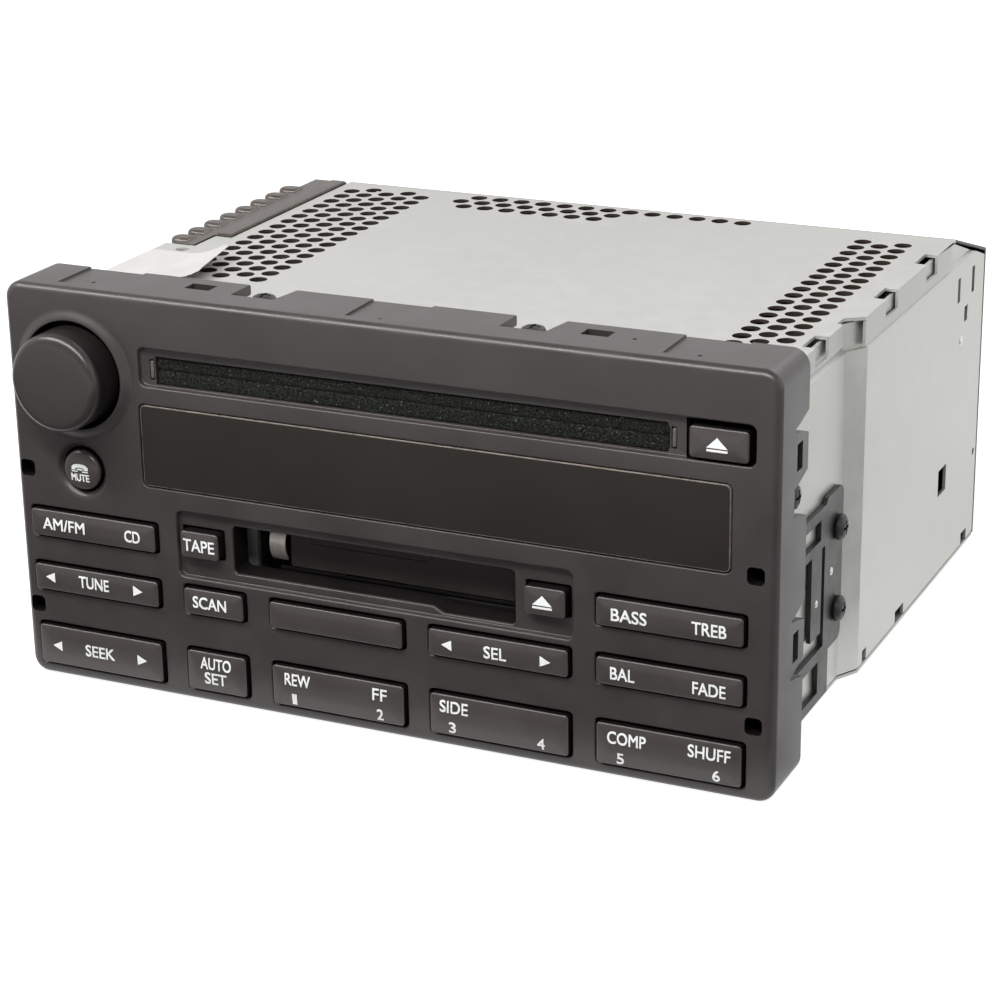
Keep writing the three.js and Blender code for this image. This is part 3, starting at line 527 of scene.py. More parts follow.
# ---------------------------------------------------------------- shared dimensions
FACE = {"x": (-95, 95), "z": (0, 98), "thick": 3, "depth": 18.6, "wall": 2.4, "corner": 4, "edge": 2}
RECESS = 1.5
CD_RECESS = ((-59.4, 89.7), (76.7, 85.9))
CD_SLOT = ((-55.6, 70.1), (77.1, 83.8))
TAPE_RECESS = ((-51.6, 48.2), (31.2, 47.5))
MOUTH = {"x": (-37.7, 33.8), "z": (33.3, 45.1), "depth": 8.3, "wall": 1.1}
FINGER = {"x": (14.5, 33.8), "z": 31.95}
WINDOW = ((-60.1, 84.7), (52.2, 72.5))
TOOL_HOLES = [(x, z) for x in (-91.8, 90.2) for z in (18.1, 52.7)]
KNOB = {"x": -77, "z": 77.5, "hole": 13}
CUP = {"floor": 6.4, "inner": 9.8}
MUTE = {"x": -76.7, "z": 54, "hole": 5.6, "dish": 6.9}
CAP_GAP = 0.6
ROCKERS = ["am_cd_rocker", "tune_rocker", "seek_rocker", "function_rocker", "rew_ff_rocker", "sel_rocker",
           "side_rocker", "bass_treble_rocker", "balance_fade_rocker", "comp_shuffle_rocker"]
BUTTONS = ["scan_button", "auto_set_button", "tape_button", "tape_eject_button", "cd_eject_button"]
CAP_LIP = {"rocker": (0, 0.9), "button": (0.9, 0.9)}
TOP_SCREW_X, TOP_SEAT = (-33.7, 33.2), 95.2
SIDE_SCREW_Z, SIDE_SEAT = 66.2, 92.4
FLANGE = (4.5, 5.6)  # where the hidden flange of a key starts and ends behind the face


def cap_span(name):
    """The outline of a key's cap, without the hidden flange behind the bezel."""
    x, _, z = node_span(name)
    lip = CAP_LIP[name.split("_")[-1]]
    return widened(x, -lip[0]), widened(z, -lip[1])


def opening(name):
    x, z = cap_span(name)
    return widened(x, CAP_GAP), widened(z, CAP_GAP)


# ---------------------------------------------------------------- bezel
def mouth_outline():
    x, z = MOUTH["x"], MOUTH["z"]
    return [(x[0] + 0.8, z[0]), (FINGER["x"][0] - 1, z[0]), (FINGER["x"][0] + 1.6, FINGER["z"]),
            (x[1] - 0.8, FINGER["z"]), (x[1], FINGER["z"] + 0.8), (x[1], z[1] - 0.8), (x[1] - 0.8, z[1]),
            (x[0] + 0.8, z[1]), (x[0], z[1] - 0.8), (x[0], z[0] + 0.8)]


def bezel():
    """The moulded front. Slots: 0 for the shell, 1 for hollows and 2 for the cassette bay, both painted
    shade.
    """
    thick, depth, wall = FACE["thick"], FACE["depth"], FACE["wall"]
    shape = Shape()
    outline = rounded(FACE["x"], FACE["z"], FACE["corner"], 8)
    skirt = [*quarter(FACE["edge"], 0, -1, 6), (0, depth - 0.35), (-0.12, depth - 0.1), (-0.4, depth),
             (-wall + 0.3, depth), (-wall, depth - 0.3), (-wall, thick)]
    front, back = shape.loft(outline, skirt)
    face_holes, back_holes = [], []

    def through(outline, edge, level, holes):
        # the wall behind each rim is painted in shade (slot 1)
        rim, end = shape.loft(outline, [*quarter(edge, level, 1), (0, level + edge + 0.25), (0, thick)],
                              slots=[0, 0, 0, 0, 1])
        holes.append(rim)
        back_holes.append(end)

    def key_hole(name, radius=0.9):
        return rounded(*opening(name), radius)

    through(rounded(*CD_RECESS, 1.6, 5), 0.45, 0, face_holes)

    x, z = TAPE_RECESS
    rim, foot = shape.loft(rounded(x, z, 1.6, 5), [*quarter(0.45, 0, 1), (0, RECESS - 0.7)])
    face_holes.append(rim)
    for inset, drop in ((0.04, 0.4), (0.11, 0.61), (0.22, 0.7)):
        ring = shape.ring(rounded(widened(x, -inset), widened(z, -inset), 1.5, 5), RECESS - 0.7 + drop)
        shape.band(foot, ring)
        foot = ring
    floor, holes = foot, []
    for name in ("tape_button", "tape_eject_button"):
        through(key_hole(name, 0.6), 0.12, RECESS, holes)
    throat = [*quarter(0.4, RECESS, 1), (0, RECESS + 0.8), (0, MOUTH["depth"]),
              (MOUTH["wall"], MOUTH["depth"]), (MOUTH["wall"], thick)]
    lip, tunnel = shape.loft(mouth_outline(), throat, slots=[0, 0, 0, 0, 2, 2, 1])
    back_holes.append(tunnel)
    shape.fill(floor, [*holes, lip])

    for name in [*ROCKERS, "scan_button", "auto_set_button"]:
        through(key_hole(name), 0.35, 0, face_holes)
    through(rounded(*WINDOW, 1.6, 5), 0.3, 0, face_holes)
    slope = MUTE["dish"] - MUTE["hole"]
    dish = [(slope + 0.4, 0), (slope + 0.05, 0.03), (slope - 0.35, 0.12), (slope * 0.62, 0.38),
            (slope * 0.3, 0.7), (0.25, 0.98), (0.06, 1.1), (0, 1.35), (0, thick)]
    first, last = shape.loft(circle(MUTE["x"], MUTE["z"], MUTE["hole"], 64), dish, slots=[0] * 7 + [1])
    face_holes.append(first)
    back_holes.append(last)

    # the knob stands in a raised collar, with a cup behind it painted in shade
    inward, cup_front, cup_back = CUP["inner"] - KNOB["hole"], CUP["floor"], CUP["floor"] + 0.9
    collar = [(2.75, 0), (2.55, -0.02), (2.25, -0.12), (1.8, -0.37), (1.25, -0.71), (0.75, -1.0),
              (0.42, -1.12), (0.18, -1.1), (0.05, -0.98), (0, -0.8), (0, 0.1), (0, cup_front),
              (inward, cup_front), (inward, cup_back), (1, cup_back), (1, thick)]
    hole = circle(KNOB["x"], KNOB["z"], KNOB["hole"], 128)
    first, last = shape.loft(hole, collar, slots=[0] * 10 + [1] * 5)
    face_holes.append(first)
    back_holes.append(last)

    shape.fill(front, face_holes)
    shape.fill(back, back_holes)
    piece = shape.object("bezel_shell", ["bezel", "hollow", "bay"])
    combine(piece, [disc_tray()], "UNION")
    cut_skirt(piece)
    return piece


FELT_HOLE = [(70.1, 78.4), (70.1, 82.5), (69.5, 83.8), (-55.6, 83.8), (-55.6, 77.1), (69.5, 77.1)]
CLIP_SLOTS = [(-57.2, -55.95), (70.45, 71.7)]
CLIP_SLOT_Z = (78.1, 83.0)
TRAY_END = 74.1


def disc_tray():
    """The hollow floor that holds the disc felt. It stops short of the eject key."""
    (x0, _), z = CD_RECESS
    lip = RECESS - 0.75

    def outline(inset, drop, radius):
        return rounded((x0 + inset, TRAY_END), widened(z, -drop), (0.05, 0.05, radius, radius), 5)

    shape = Shape()
    buried = shape.ring(outline(-0.35, -0.35, 1.9), lip)
    rings = [buried, shape.ring(outline(0, 0, 1.6), lip)]
    for k in range(1, 5):
        angle = math.pi / 2 * k / 4
        inset = 0.85 * (1 - math.cos(angle))
        rings.append(shape.ring(outline(inset, inset * 0.3, 1.6), RECESS - 0.75 * (1 - math.sin(angle))))
    for first, second in zip(rings, rings[1:]):
        shape.band(first, second)
    floor = rings[-1]
    back = shape.ring(outline(-0.35, -0.35, 1.9), FACE["thick"] - 0.1)
    shape.band(buried, back)
    holes, ends = [], []
    for hole in (FELT_HOLE, *[rounded(x, CLIP_SLOT_Z, 0.3, 2) for x in CLIP_SLOTS]):
        first, last = shape.loft(hole, [*quarter(0.08, RECESS, 1, 2), (0, FACE["thick"] - 0.1)])
        holes.append(first)
        ends.append(last)
    shape.fill(floor, holes)
    shape.fill(back, ends)
    return shape


def cut_skirt(piece):
    """The pockets, slots, notches and screw seats in the bezel's sides."""
    top, depth, wall = FACE["z"][1], FACE["depth"], FACE["wall"]
    pockets = ((-82.6, -67.4), (-7.9, 7.3), (67.1, 82.2))
    tools = [block(x, (4.4, depth + 1), (top - 0.5, top + 1)) for x in pockets]
    tools += [block(x, (10.4, 14.6), (top - wall - 1, top + 1)) for x in ((-52.4, -46), (45.9, 52.3))]
    tools += [prism(circle(x, y, 0.5, 16), (top - 1.1, top + 1), ACROSS["z"])
              for x, y in ((-75.3, 8.2), (0, 6), (58.2, 11.2), (74.7, 6.6))]
    for x in TOP_SCREW_X:
        tools.append(prism([(x - 5.9, 9.4), (x + 5, 9.4), (x + 6.6, depth + 1), (x - 5.9, depth + 1)],
                           (top - wall - 1, top + 1), ACROSS["z"]))
    for side in (1, -1):
        across = widened((side * FACE["x"][1],) * 2, 4)
        notches = ((81.4, 83.2, 10.2), (62.6, 69.8, 10), (38.6, 39.8, 10.2), (25, 26.6, 10.2))
        for low, high, start in notches:
            notch = [(start + 2.4, low), (depth + 1, low - 2), (depth + 1, high + 2), (start + 2.4, high),
                     (start, high - 0.4), (start, low + 0.4)]
            tools.append(prism(notch, across, ACROSS["x"]))
        tools += [block(across, (11.2, 14.6), z) for z in ((72.9, 79), (29, 35.8))]
    for x, z in TOOL_HOLES:
        hole = rounded(widened((x, x), 2), widened((z, z), 2), 1.1)
        tools.append(prism(hole, (-1, FACE["thick"] + 1), ACROSS["y"]))
    for tool in tools:
        combine(piece, [tool], "DIFFERENCE")
    # the walls round the tool holes are painted in shade (slot 1)
    for face in piece.data.polygons:
        x, y, z = (face.center - P(0, 0, 0)) / MM
        if y > 0.1 and any(abs(x - u) < 2.2 and abs(z - w) < 2.2 for u, w in TOOL_HOLES):
            face.material_index = 1
    seats = []
    for x in TOP_SCREW_X:
        seats.append([block((x - 5, x + 4.6), (8, 17.6), (TOP_SEAT - 1.6, TOP_SEAT)),
                      block((x - 5, x + 4.6), (8, 9.4), (TOP_SEAT - 1.6, top - 1))])
    for side in (1, -1):
        z = widened((SIDE_SCREW_Z, SIDE_SCREW_Z), 3.6)
        inner, outer = sorted((side * (SIDE_SEAT - 1.6), side * SIDE_SEAT))
        edge = sorted((side * (SIDE_SEAT - 1.6), side * (FACE["x"][1] - 1)))
        seats.append([block((inner, outer), (8.6, 17.6), z), block(edge, (8.6, 10), z)])
    for shelf, web in seats:
        combine(piece, [shelf], "UNION")
        combine(piece, [web], "UNION")
    front = P(0, 4.2, 0).y
    limit = FACE["x"][1] * MM

    def on_skirt(co):
        outer = abs(co.x) > limit - 0.7 * MM or co.z > (top - 0.7) * MM or co.z < 0.2 * MM
        return co.y > front and outer

    soften(piece, 0.22, on_skirt)


rides(bezel(), ROOT, "bezel_plastic", "bezel")


def tool_hole_cups():
    """Pockets behind the four holes for the removal tool, painted in shade."""
    shape = Shape()
    for x, z in TOOL_HOLES:
        hole = rounded(widened((x, x), 2.05), widened((z, z), 2.05), 1.1)
        lip, floor = shape.loft(hole, [(0, 2.9), (0, 9.1)])
        outer, back = shape.loft(hole, [(0.5, 2.9), (0.5, 9.5)])
        shape.band(lip, outer)
        shape.fill(floor)
        shape.fill(back)
    return shape.object("tool_hole_cups", ["hollow"])


rides(tool_hole_cups(), ROOT, "bezel_plastic")


def light_stop():
    """A rib beside the front board, painted in shade, which keeps most daylight out of the right keys'
    gaps.
    """
    return block((87.7, 92.8), (9.8, 11.2), (3.4, 94)).object("light_stop", ["hollow"])


rides(light_stop(), ROOT, "bezel_plastic")


def mouth_step():
    """The low wall behind the finger notch of the cassette mouth, and the sill under the door, both painted
    in the bay's shade.
    """
    shape = Shape()
    for outline, y in (([(14.2, 30.9), (34.6, 30.9), (34.6, 33.15), (13.2, 33.15)], 7.95),
                       ([(-29.5, 33.2), (33.1, 33.2), (33.1, 34.0), (-29.5, 34.0)], 8.95)):
        shape.solid(outline, [(-0.1, y), (0, y + 0.1), (0, y + 0.75)])
    return shape.object("mouth_step", ["bay"])


rides(mouth_step(), ROOT, "bezel_plastic")


# ---------------------------------------------------------------- keys
def pillow(inset, reach):
    """How far a cap's face falls back at this distance from its outline."""
    return 0.4 * (max(0.0, reach - inset) / reach) ** 2


def pillow_reach(x, z):
    return min(3.4, (x[1] - x[0]) / 2 - 0.55, (z[1] - z[0]) / 2 - 0.55)


CAP_CORNER, CAP_EDGE = 0.85, 0.5


def key(name):
    """A cap with a pillowed face, rounded edges, walls painted in shade and its hidden flange."""
    x, z = cap_span(name)
    full_x, full_y, full_z = node_span(name)
    proud = full_y[0]
    outline = rounded(x, z, CAP_CORNER, 5)
    shape = Shape()
    reach = pillow_reach(x, z)
    crown = []
    for share in (1, 0.85, 0.7, 0.55, 0.4, 0.27):
        inset = reach * share
        smaller = rounded(widened(x, -inset), widened(z, -inset), 0.5, 5)
        crown.append(shape.ring(smaller, proud + pillow(inset, reach)))
    side = [*quarter(CAP_EDGE, proud + pillow(CAP_EDGE, reach), -1, 5), (0, FLANGE[0])]
    edge, wall = shape.loft(outline, side, slots=[0] * 4 + [1, 1])
    shape.fill(crown[0])
    for first, second in zip(crown, [*crown[1:], edge]):
        shape.band(first, second)
    flange = rounded(full_x, full_z, CAP_CORNER, 5)
    collar, back = shape.loft(flange, [(0, depth) for depth in FLANGE], slot=1)
    shape.band(wall, collar, 1)
    shape.fill(back, slot=1)
    return rides(shape.object(name + "_cap", ["cap", "cap_wall_painted_shade"]), name, "control_plastic", name)


for name in [*ROCKERS, *BUTTONS]:
    key(name)


def volume_knob():
    """A round cap, hollow behind, with its hub; its side and inside are painted in shade."""
    x, (front, back), _ = node_span("volume_knob")
    radius, skin, hub = (x[1] - x[0]) / 2, 1.6, (5, 3.1)
    lip = [(radius + offset, y) for offset, y in quarter(2.2, front + 0.1, -1, 9)]
    profile = [(4, front), (7.5, front + 0.02), *lip, (radius, back - 0.4), (radius - 0.4, back),
               (radius - skin, back), (radius - skin, front + 2.2), (hub[0], front + 2.2), (hub[0], back),
               (hub[1], back), (hub[1], front + 2.4)]
    slots = [0] * (len(lip) + 1) + [1] * (len(profile) - len(lip) - 2)
    shape = Shape().revolve((KNOB["x"], KNOB["z"]), profile, 128, slots)
    return shape.object("volume_dial_cap", ["knob", "knob_wall_painted_shade"])


rides(volume_knob(), "volume_dial", "control_plastic", "volume_knob")


def mute_button():
    front, radius = node_span("mute_button")[1][0], 4.95
    dome = [(0.6, front), (1.8, front + 0.06), (3.0, front + 0.19), (3.8, front + 0.36),
            (4.35, front + 0.58), (4.7, front + 0.86), (4.88, front + 1.2), (radius, front + 1.6)]
    profile = [*dome, (radius, FLANGE[0]), (radius + 1, FLANGE[0]), (radius + 1, FLANGE[1]),
               (1.8, FLANGE[1]), (1.8, 7.3)]
    # the dome's side and flange are painted in shade
    slots = [0] * (len(dome) - 1) + [1] * (len(profile) - len(dome))
    shape = Shape().revolve((MUTE["x"], MUTE["z"]), profile, 64, slots)
    return shape.object("mute_dome", ["cap", "cap_wall_painted_shade"])


rides(mute_button(), "mute_button", "control_plastic", "mute_button")


# ---------------------------------------------------------------- print on the keys
INK = 0.1  # how far the print stands on its key
BOLD = 0.05  # how far the four copies of a word stand apart, which makes its strokes bold


def text_mesh(words, height, width):
    """Flat letters as points and faces, scaled to a cap height and a width in millimetres."""
    curve = bpy.data.curves.new("letters", "FONT")
    curve.body, curve.size, curve.resolution_u = words, 1, 4
    helper = placed("letters", curve)
    graph = bpy.context.evaluated_depsgraph_get()
    mesh = bpy.data.meshes.new_from_object(helper.evaluated_get(graph))
    bpy.data.objects.remove(helper)
    points = [v.co.copy() for v in mesh.vertices]
    faces = [tuple(p.vertices) for p in mesh.polygons]
    bpy.data.meshes.remove(mesh)
    low_x, high_x = min(p.x for p in points), max(p.x for p in points)
    low_y, high_y = min(p.y for p in points), max(p.y for p in points)
    scale_x, scale_y = width / (high_x - low_x), height / (high_y - low_y)
    return [((p.x - low_x) * scale_x, (p.y - low_y) * scale_y) for p in points], faces


def triangle(x, z, to_left, width=2.5, height=2.5):
    tip, base = (x, x + width) if to_left else (x + width, x)
    return [(tip, z + height / 2), (base, z), (base, z + height)], [(0, 1, 2)]


def eject_sign(x, z):
    """A triangle over a bar; x, z is the middle of the bar's lower edge."""
    points = [(x - 2.35, z + 0.85), (x + 2.35, z + 0.85), (x, z + 3.15), (x - 2.35, z), (x + 2.35, z),
              (x + 2.35, z + 0.5), (x - 2.35, z + 0.5)]
    return points, [(0, 1, 2), (3, 4, 5, 6)]


def mirrored(half):
    """A symmetrical arc from its left half, whose last point lies on the middle line."""
    return half + [(-u, v) for u, v in half[-2::-1]]


def handset_sign(x, z):
    """A resting handset over a thin line; x, z is the middle of the handset's lower edge."""
    outer = mirrored([(-2.2, 0), (-2.2, 0.65), (-1.75, 1.15), (-0.9, 1.42), (0, 1.48)])
    inner = mirrored([(-1.25, 0), (-1.2, 0.2), (-1.0, 0.5), (-0.55, 0.6), (0, 0.62)])
    body = [(-0.85, 0.0), (0.85, 0.0), (0.6, 0.34), (-0.6, 0.34)]
    line = [(-2.2, -0.5), (2.2, -0.5), (2.2, -0.24), (-2.2, -0.24)]
    points = [(x + u, z + v) for u, v in [*outer, *inner, *body, *line]]
    count = len(outer)
    arch = [(k, k + 1, count + k + 1, count + k) for k in range(count - 1)]
    bars = [tuple(range(start, start + 4)) for start in (2 * count, 2 * count + 4)]
    return points, [*arch, *bars]


LETTER, DIGIT = 2.85, 2.6  # heights
# words, left edge, lower edge, width, height; an arrow has only its place
PRINTS = {
    "am_cd_rocker": [("AM/FM", -87.7, 38.4, 11.5, LETTER), ("CD", -65.1, 38.3, 4.1, LETTER)],
    "tune_rocker": [("TUNE", -78.7, 24.7, 8.2, LETTER), ("<", -88.0, 24.85), (">", -63.7, 24.85)],
    "seek_rocker": [("SEEK", -78.2, 7.1, 8.0, LETTER), ("<", -87.4, 7.2), (">", -63.7, 7.2)],
    "tape_button": [("TAPE", -49.3, 38.5, 8.1, LETTER)],
    "scan_button": [("SCAN", -47.4, 24.5, 8.8, LETTER)],
    "auto_set_button": [("AUTO", -46.3, 9.3, 8.1, LETTER), ("SET", -45.3, 5.6, 5.8, LETTER)],
    "rew_ff_rocker": [("REW", -23.8, 9.0, 6.6, LETTER), ("1", -22.0, 4.3, 1.15, DIGIT),
                      ("FF", -1.0, 9.1, 3.6, LETTER), ("2", 0.0, 4.3, 1.6, DIGIT)],
    "sel_rocker": [("SEL", 27.3, 24.2, 5.4, LETTER), ("<", 16.8, 24.5), (">", 40.9, 24.4)],
    "side_rocker": [("SIDE", 16.1, 9.2, 6.9, LETTER), ("3", 18.3, 4.3, 1.6, DIGIT),
                    ("4", 40.1, 4.3, 1.75, DIGIT)],
    "bass_treble_rocker": [("BASS", 57.9, 38.1, 8.2, LETTER), ("TREB", 76.5, 38.0, 7.8, LETTER)],
    "balance_fade_rocker": [("BAL", 57.7, 24.3, 5.6, LETTER), ("FADE", 76.8, 24.1, 7.5, LETTER)],
    "comp_shuffle_rocker": [("COMP", 57.0, 8.9, 9.0, LETTER), ("5", 59.2, 4.2, 1.65, DIGIT),
                            ("SHUFF", 75.9, 9.1, 9.7, LETTER), ("6", 81.6, 4.2, 1.65, DIGIT)],
}


def print_piece(name, key_name, parts, fall):
    """Print on a key as thin closed films. `fall` is how far the key's face lies back at a spot."""
    front = node_span(key_name)[1][0]
    work = bmesh.new()
    for part, (points, faces) in enumerate(parts):
        top = INK + 0.003 * (part % 4)  # so that the copies of a word don't lie in one plane
        rows = [[work.verts.new(P(u, front + fall(u, v) - step, v)) for u, v in points]
                for step in (top, -0.02)]
        for face in faces:
            work.faces.new([rows[0][i] for i in face])
            work.faces.new([rows[1][i] for i in reversed(face)])
        rims = {}
        for face in faces:
            for k, a in enumerate(face):
                b = face[(k + 1) % len(face)]
                if (b, a) in rims:
                    del rims[(b, a)]
                else:
                    rims[(a, b)] = True
        for a, b in rims:
            work.faces.new((rows[0][a], rows[1][a], rows[1][b], rows[0][b]))
    mesh = bpy.data.meshes.new(name)
    bake(work, mesh)
    return rides(finish_mesh(name, mesh, ["ink"], 30, False), key_name, "control_plastic")


def words_at(words, left, low, width, height):
    """Four copies of a word, a little apart."""
    points, faces = text_mesh(words, height, width)
    return [([(left + u + across, low + v + up) for u, v in points], faces)
            for across, up in ((-BOLD, -BOLD), (BOLD, -BOLD), (-BOLD, BOLD), (BOLD, BOLD))]


def on_cap(name):
    """The fall of this cap's pillowed face under a spot of print."""
    x, z = cap_span(name)
    reach = pillow_reach(x, z)

    def fall(u, v):
        return pillow(min(u - x[0], x[1] - u, v - z[0], z[1] - v), reach)

    return fall


for name, entries in PRINTS.items():
    parts = []
    for entry in entries:
        if entry[0] in "<>":
            parts.append(triangle(entry[1], entry[2], entry[0] == "<"))
        else:
            parts += words_at(*entry)
    print_piece(name + "_print", name, parts, on_cap(name))
for name, x, z in (("cd_eject", 81.35, 79.3), ("tape_eject", 41.5, 38.0)):
    print_piece(name + "_print", name + "_button", [eject_sign(x, z)], on_cap(name + "_button"))


def dome_sink(u, v):
    """How far the mute button's dome falls away from its middle."""
    distance = math.hypot(u - MUTE["x"], v - MUTE["z"])
    return 0.0207 * distance ** 2


print_piece("mute_print", "mute_button",
            [*words_at("MUTE", -79.1, 51.55, 4.8, 1.75), handset_sign(MUTE["x"], 54.3)], dome_sink)


# ---------------------------------------------------------------- display, felt, cassette door
def lens():
    _, (front, back), _ = node_span("display_lens")
    x, z = widened(WINDOW[0], -0.25), widened(WINDOW[1], -0.25)
    shape = Shape()
    # the window's rounded edge and wall are painted lighter, as a highlight (slot 1)
    rim, wall = shape.loft(rounded(x, z, 1.4, 5), [*quarter(0.34, front, -1), (0, 3.4)], slot=1)
    shape.fill(rim)
    collar, back_ring = shape.loft(rounded(widened(x, 1.1), widened(z, 1.1), 1.4, 5), [(0, 3.4), (0, back)])
    shape.band(wall, collar)
    shape.fill(back_ring)
    return shape.object("display_window", ["lens", "lens_rim_painted_highlight"])


rides(lens(), ROOT, "lens_plastic", "display_lens")


def grid_cells(rows):
    """The four corners of each cell of a grid of points, in turn."""
    for near, far in zip(rows, rows[1:]):
        for i in range(len(near) - 1):
            yield near[i], near[i + 1], far[i + 1], far[i]


def grid_rim(rows):
    return rows[0] + [row[-1] for row in rows[1:]] + rows[-1][-2::-1] + [row[0] for row in rows[-2:0:-1]]


def felt_lip(name, z, round_low, round_high):
    """One half of the dust seal: a fuzzy pad, rolled in along the disc slit."""
    x = widened(CD_SLOT[0], -0.3)
    steps_x, steps_z = 420, 14
    front, back = 2.05, 3.4
    work = bmesh.new()
    seed = Vector((7.3, 1.9, 4.4))  # any fixed spot of the noise
    rows = []
    for j in range(steps_z + 1):
        v = z[0] + (z[1] - z[0]) * j / steps_z
        roll = 0.0
        for edge, active in ((z[0], round_low), (z[1], round_high)):
            if active:
                near = max(0.0, 1 - abs(v - edge) / 1.1)
                roll += 0.4 * near ** 2.2
        row = []
        for i in range(steps_x + 1):
            u = x[0] + (x[1] - x[0]) * i / steps_x
            spot = Vector((u, v, 0))
            fuzz = noise.noise(spot * 3.1 + seed) * 0.16 + noise.noise(spot * 1.1 + seed) * 0.1
            fuzz += noise.noise(spot * 7.5) * 0.1
            edge = min(i, steps_x - i, 3) / 3
            row.append(work.verts.new(P(u, front + roll + fuzz + 0.25 * (1 - edge), v)))
        rows.append(row)
    for corners in grid_cells(rows):
        work.faces.new(corners)
    rim = grid_rim(rows)
    base = [work.verts.new((v.co.x, P(0, back, 0).y, v.co.z)) for v in rim]
    for k in range(len(rim)):
        after = (k + 1) % len(rim)
        work.faces.new((rim[after], rim[k], base[k], base[after]))
    work.faces.new(base)
    mesh = bpy.data.meshes.new(name)
    bake(work, mesh)
    return finish_mesh(name, mesh, ["felt"], 80, False)


def felt_posts():
    """The rounded ends of the felt's spring strip, standing in the slots beside it."""
    shape = Shape()
    for x in CLIP_SLOTS:
        shape.solid(rounded((x[0] + 0.2, x[1] - 0.12), widened(CLIP_SLOT_Z, -0.35), 0.32, 3),
                    [*quarter(0.3, RECESS - 0.15, -1), (0, 3.3)])
    return shape.object("felt_posts", ["post"])


rides(felt_posts(), ROOT, "bezel_plastic")

DISC_SLIT = widened((80.5, 80.5), 0.03)
for name, z, low, high in (("felt_lower", (CD_SLOT[1][0] + 0.25, DISC_SLIT[0]), False, True),
                           ("felt_upper", (DISC_SLIT[1], CD_SLOT[1][1] - 0.25), True, False)):
    rides(felt_lip(name, z, low, high), ROOT, "felt", "cd_felt")


def cassette_flap():
    """The spring-loaded door with a pressed trapezoid line, on its hinge barrel."""
    door_x, door_z, front, back = (-26.5, 33.2), (34.3, 46.2), 8.7, 9.9
    shape = Shape()
    panel = [(-21, 40.5), (8.6, 40.5), (10.6, 42.2), (-21, 42.2)]
    rim, wall = shape.loft(rounded(door_x, door_z, 0.5, 3),
                           [*quarter(0.25, front, -1), (0, back - 0.2), (-0.2, back)])
    line_outer, line_floor = shape.loft(panel, [(0, front), (-0.12, front + 0.16)])
    shape.fill(rim, [line_outer])
    shape.fill(line_floor)
    shape.fill(wall)
    # the door is painted darker, as the shade of its deep bay
    piece = shape.object("cassette_flap", ["flap"])
    hinge = [block((-11.7, 2.6), (front - 0.28, front + 0.2), (34.75, 35.15)),
             prism(circle(9.5, 46.6, 1, 24), door_x, ACROSS["x"]),
             prism(circle(9.5, 46.6, 0.7, 20), widened(door_x, 1.7), ACROSS["x"])]
    for part in hinge:
        combine(piece, [part], "UNION")
    shade(piece.data, SHARP)
    return piece


rides(cassette_flap(), "tape_flap", "control_plastic", "tape_door")


# ---------------------------------------------------------------- steel top
CASE = {"top": 91.3, "right": 91.7, "edge": 88.9, "front": 21.6, "jog": (63.5, 69.5), "slope": 141,
        "sheet": 0.8}
VENT = {"radius": 2.2, "column": 5.18, "row": 2.925, "rear_column": 6.2, "rear_row": 4.85}


def vent_spots():
    """Centres of the round vent holes: two staggered side fields and a stepped rear field."""
    across, along = VENT["column"], VENT["row"]
    spots = []
    for column in range(5):
        spots += [(-52.43 - column * across, 44.21 + row * along) for row in range(column % 2, 32, 2)]
    for column in range(3):
        spots += [(70.79 + column * across, 37.23 + row * along) for row in range(column, 33, 2)]
    for row, (shift, count) in enumerate(((0, 13), (-0.5, 8), (0, 7))):
        spots += [(-37.67 + (k + shift) * VENT["rear_column"], 137.4 - row * VENT["rear_row"])
                  for k in range(count)]
    return spots


def top_cover():
    top, right, edge, front = CASE["top"], CASE["right"], CASE["edge"], CASE["front"]
    jog, slope, sheet = CASE["jog"], CASE["slope"], CASE["sheet"]
    outline = [(-91.4, front), (edge, front), (edge, jog[0] - 4), (edge - 1.6, jog[0] - 3.6),
               (edge - 1.4, jog[1] - 5), (right, jog[1] - 2), (right, slope), (-78.4, slope), (-78.4, 76.4),
               (-83, 76.4), (-83, 66.1), (-91.4, 66.1)]
    shape = prism(outline, (top - sheet, top), ACROSS["z"])
    piece = shape.object("cover_sheet", ["steel"])
    combine(piece, [block((right - 0.7, right), (jog[1] - 2, 138), (top - 7, top - 0.1))], "UNION")
    combine(piece, [block((edge - 0.7, edge), (front, jog[0] - 4), (top - 5.2, top - 0.1))], "UNION")
    for start, outer in ((83, right), (115.8, right), (40, edge)):
        window = block((outer - 3.2, outer + 1), (start, start + 9.3), (top - 4.6, top + 1))
        combine(piece, [window], "DIFFERENCE")
    bend_low = (edge - 0.05) * MM

    def on_bend(co):
        return co.x > bend_low and co.z > (top - 0.2) * MM

    soften(piece, 0.75, on_bend, 4)
    soften(piece, 0.18, lambda co: True, 2, 50)
    cut, reach = (top - 2, top + 1), VENT["radius"]
    holes = [prism(circle(x, y, reach, 24), cut, ACROSS["z"]) for x, y in vent_spots()]
    holes.append(prism(circle(-84.4, 62.2, 1.7, 20), cut, ACROSS["z"]))
    combine(piece, holes, "DIFFERENCE")
    # the walls of the vent holes are painted in shade (slot 1)
    piece.data.materials.append(LOOK["film"])
    for face in piece.data.polygons:
        x, y, _ = (face.center - P(0, 0, 0)) / MM
        wall = abs(face.normal.z) < 0.3
        if wall and any(math.hypot(x - u, y - v) < reach + 0.1 for u, v in vent_spots()):
            face.material_index = 1
    upper = (top - 0.01) * MM

    def on_rim(co):
        return co.z > upper and co.x < (edge - 1) * MM

    soften(piece, 0.12, on_rim, 2, 60)
    return piece


rides(top_cover(), ROOT, "galvanised_steel", "top_cover")


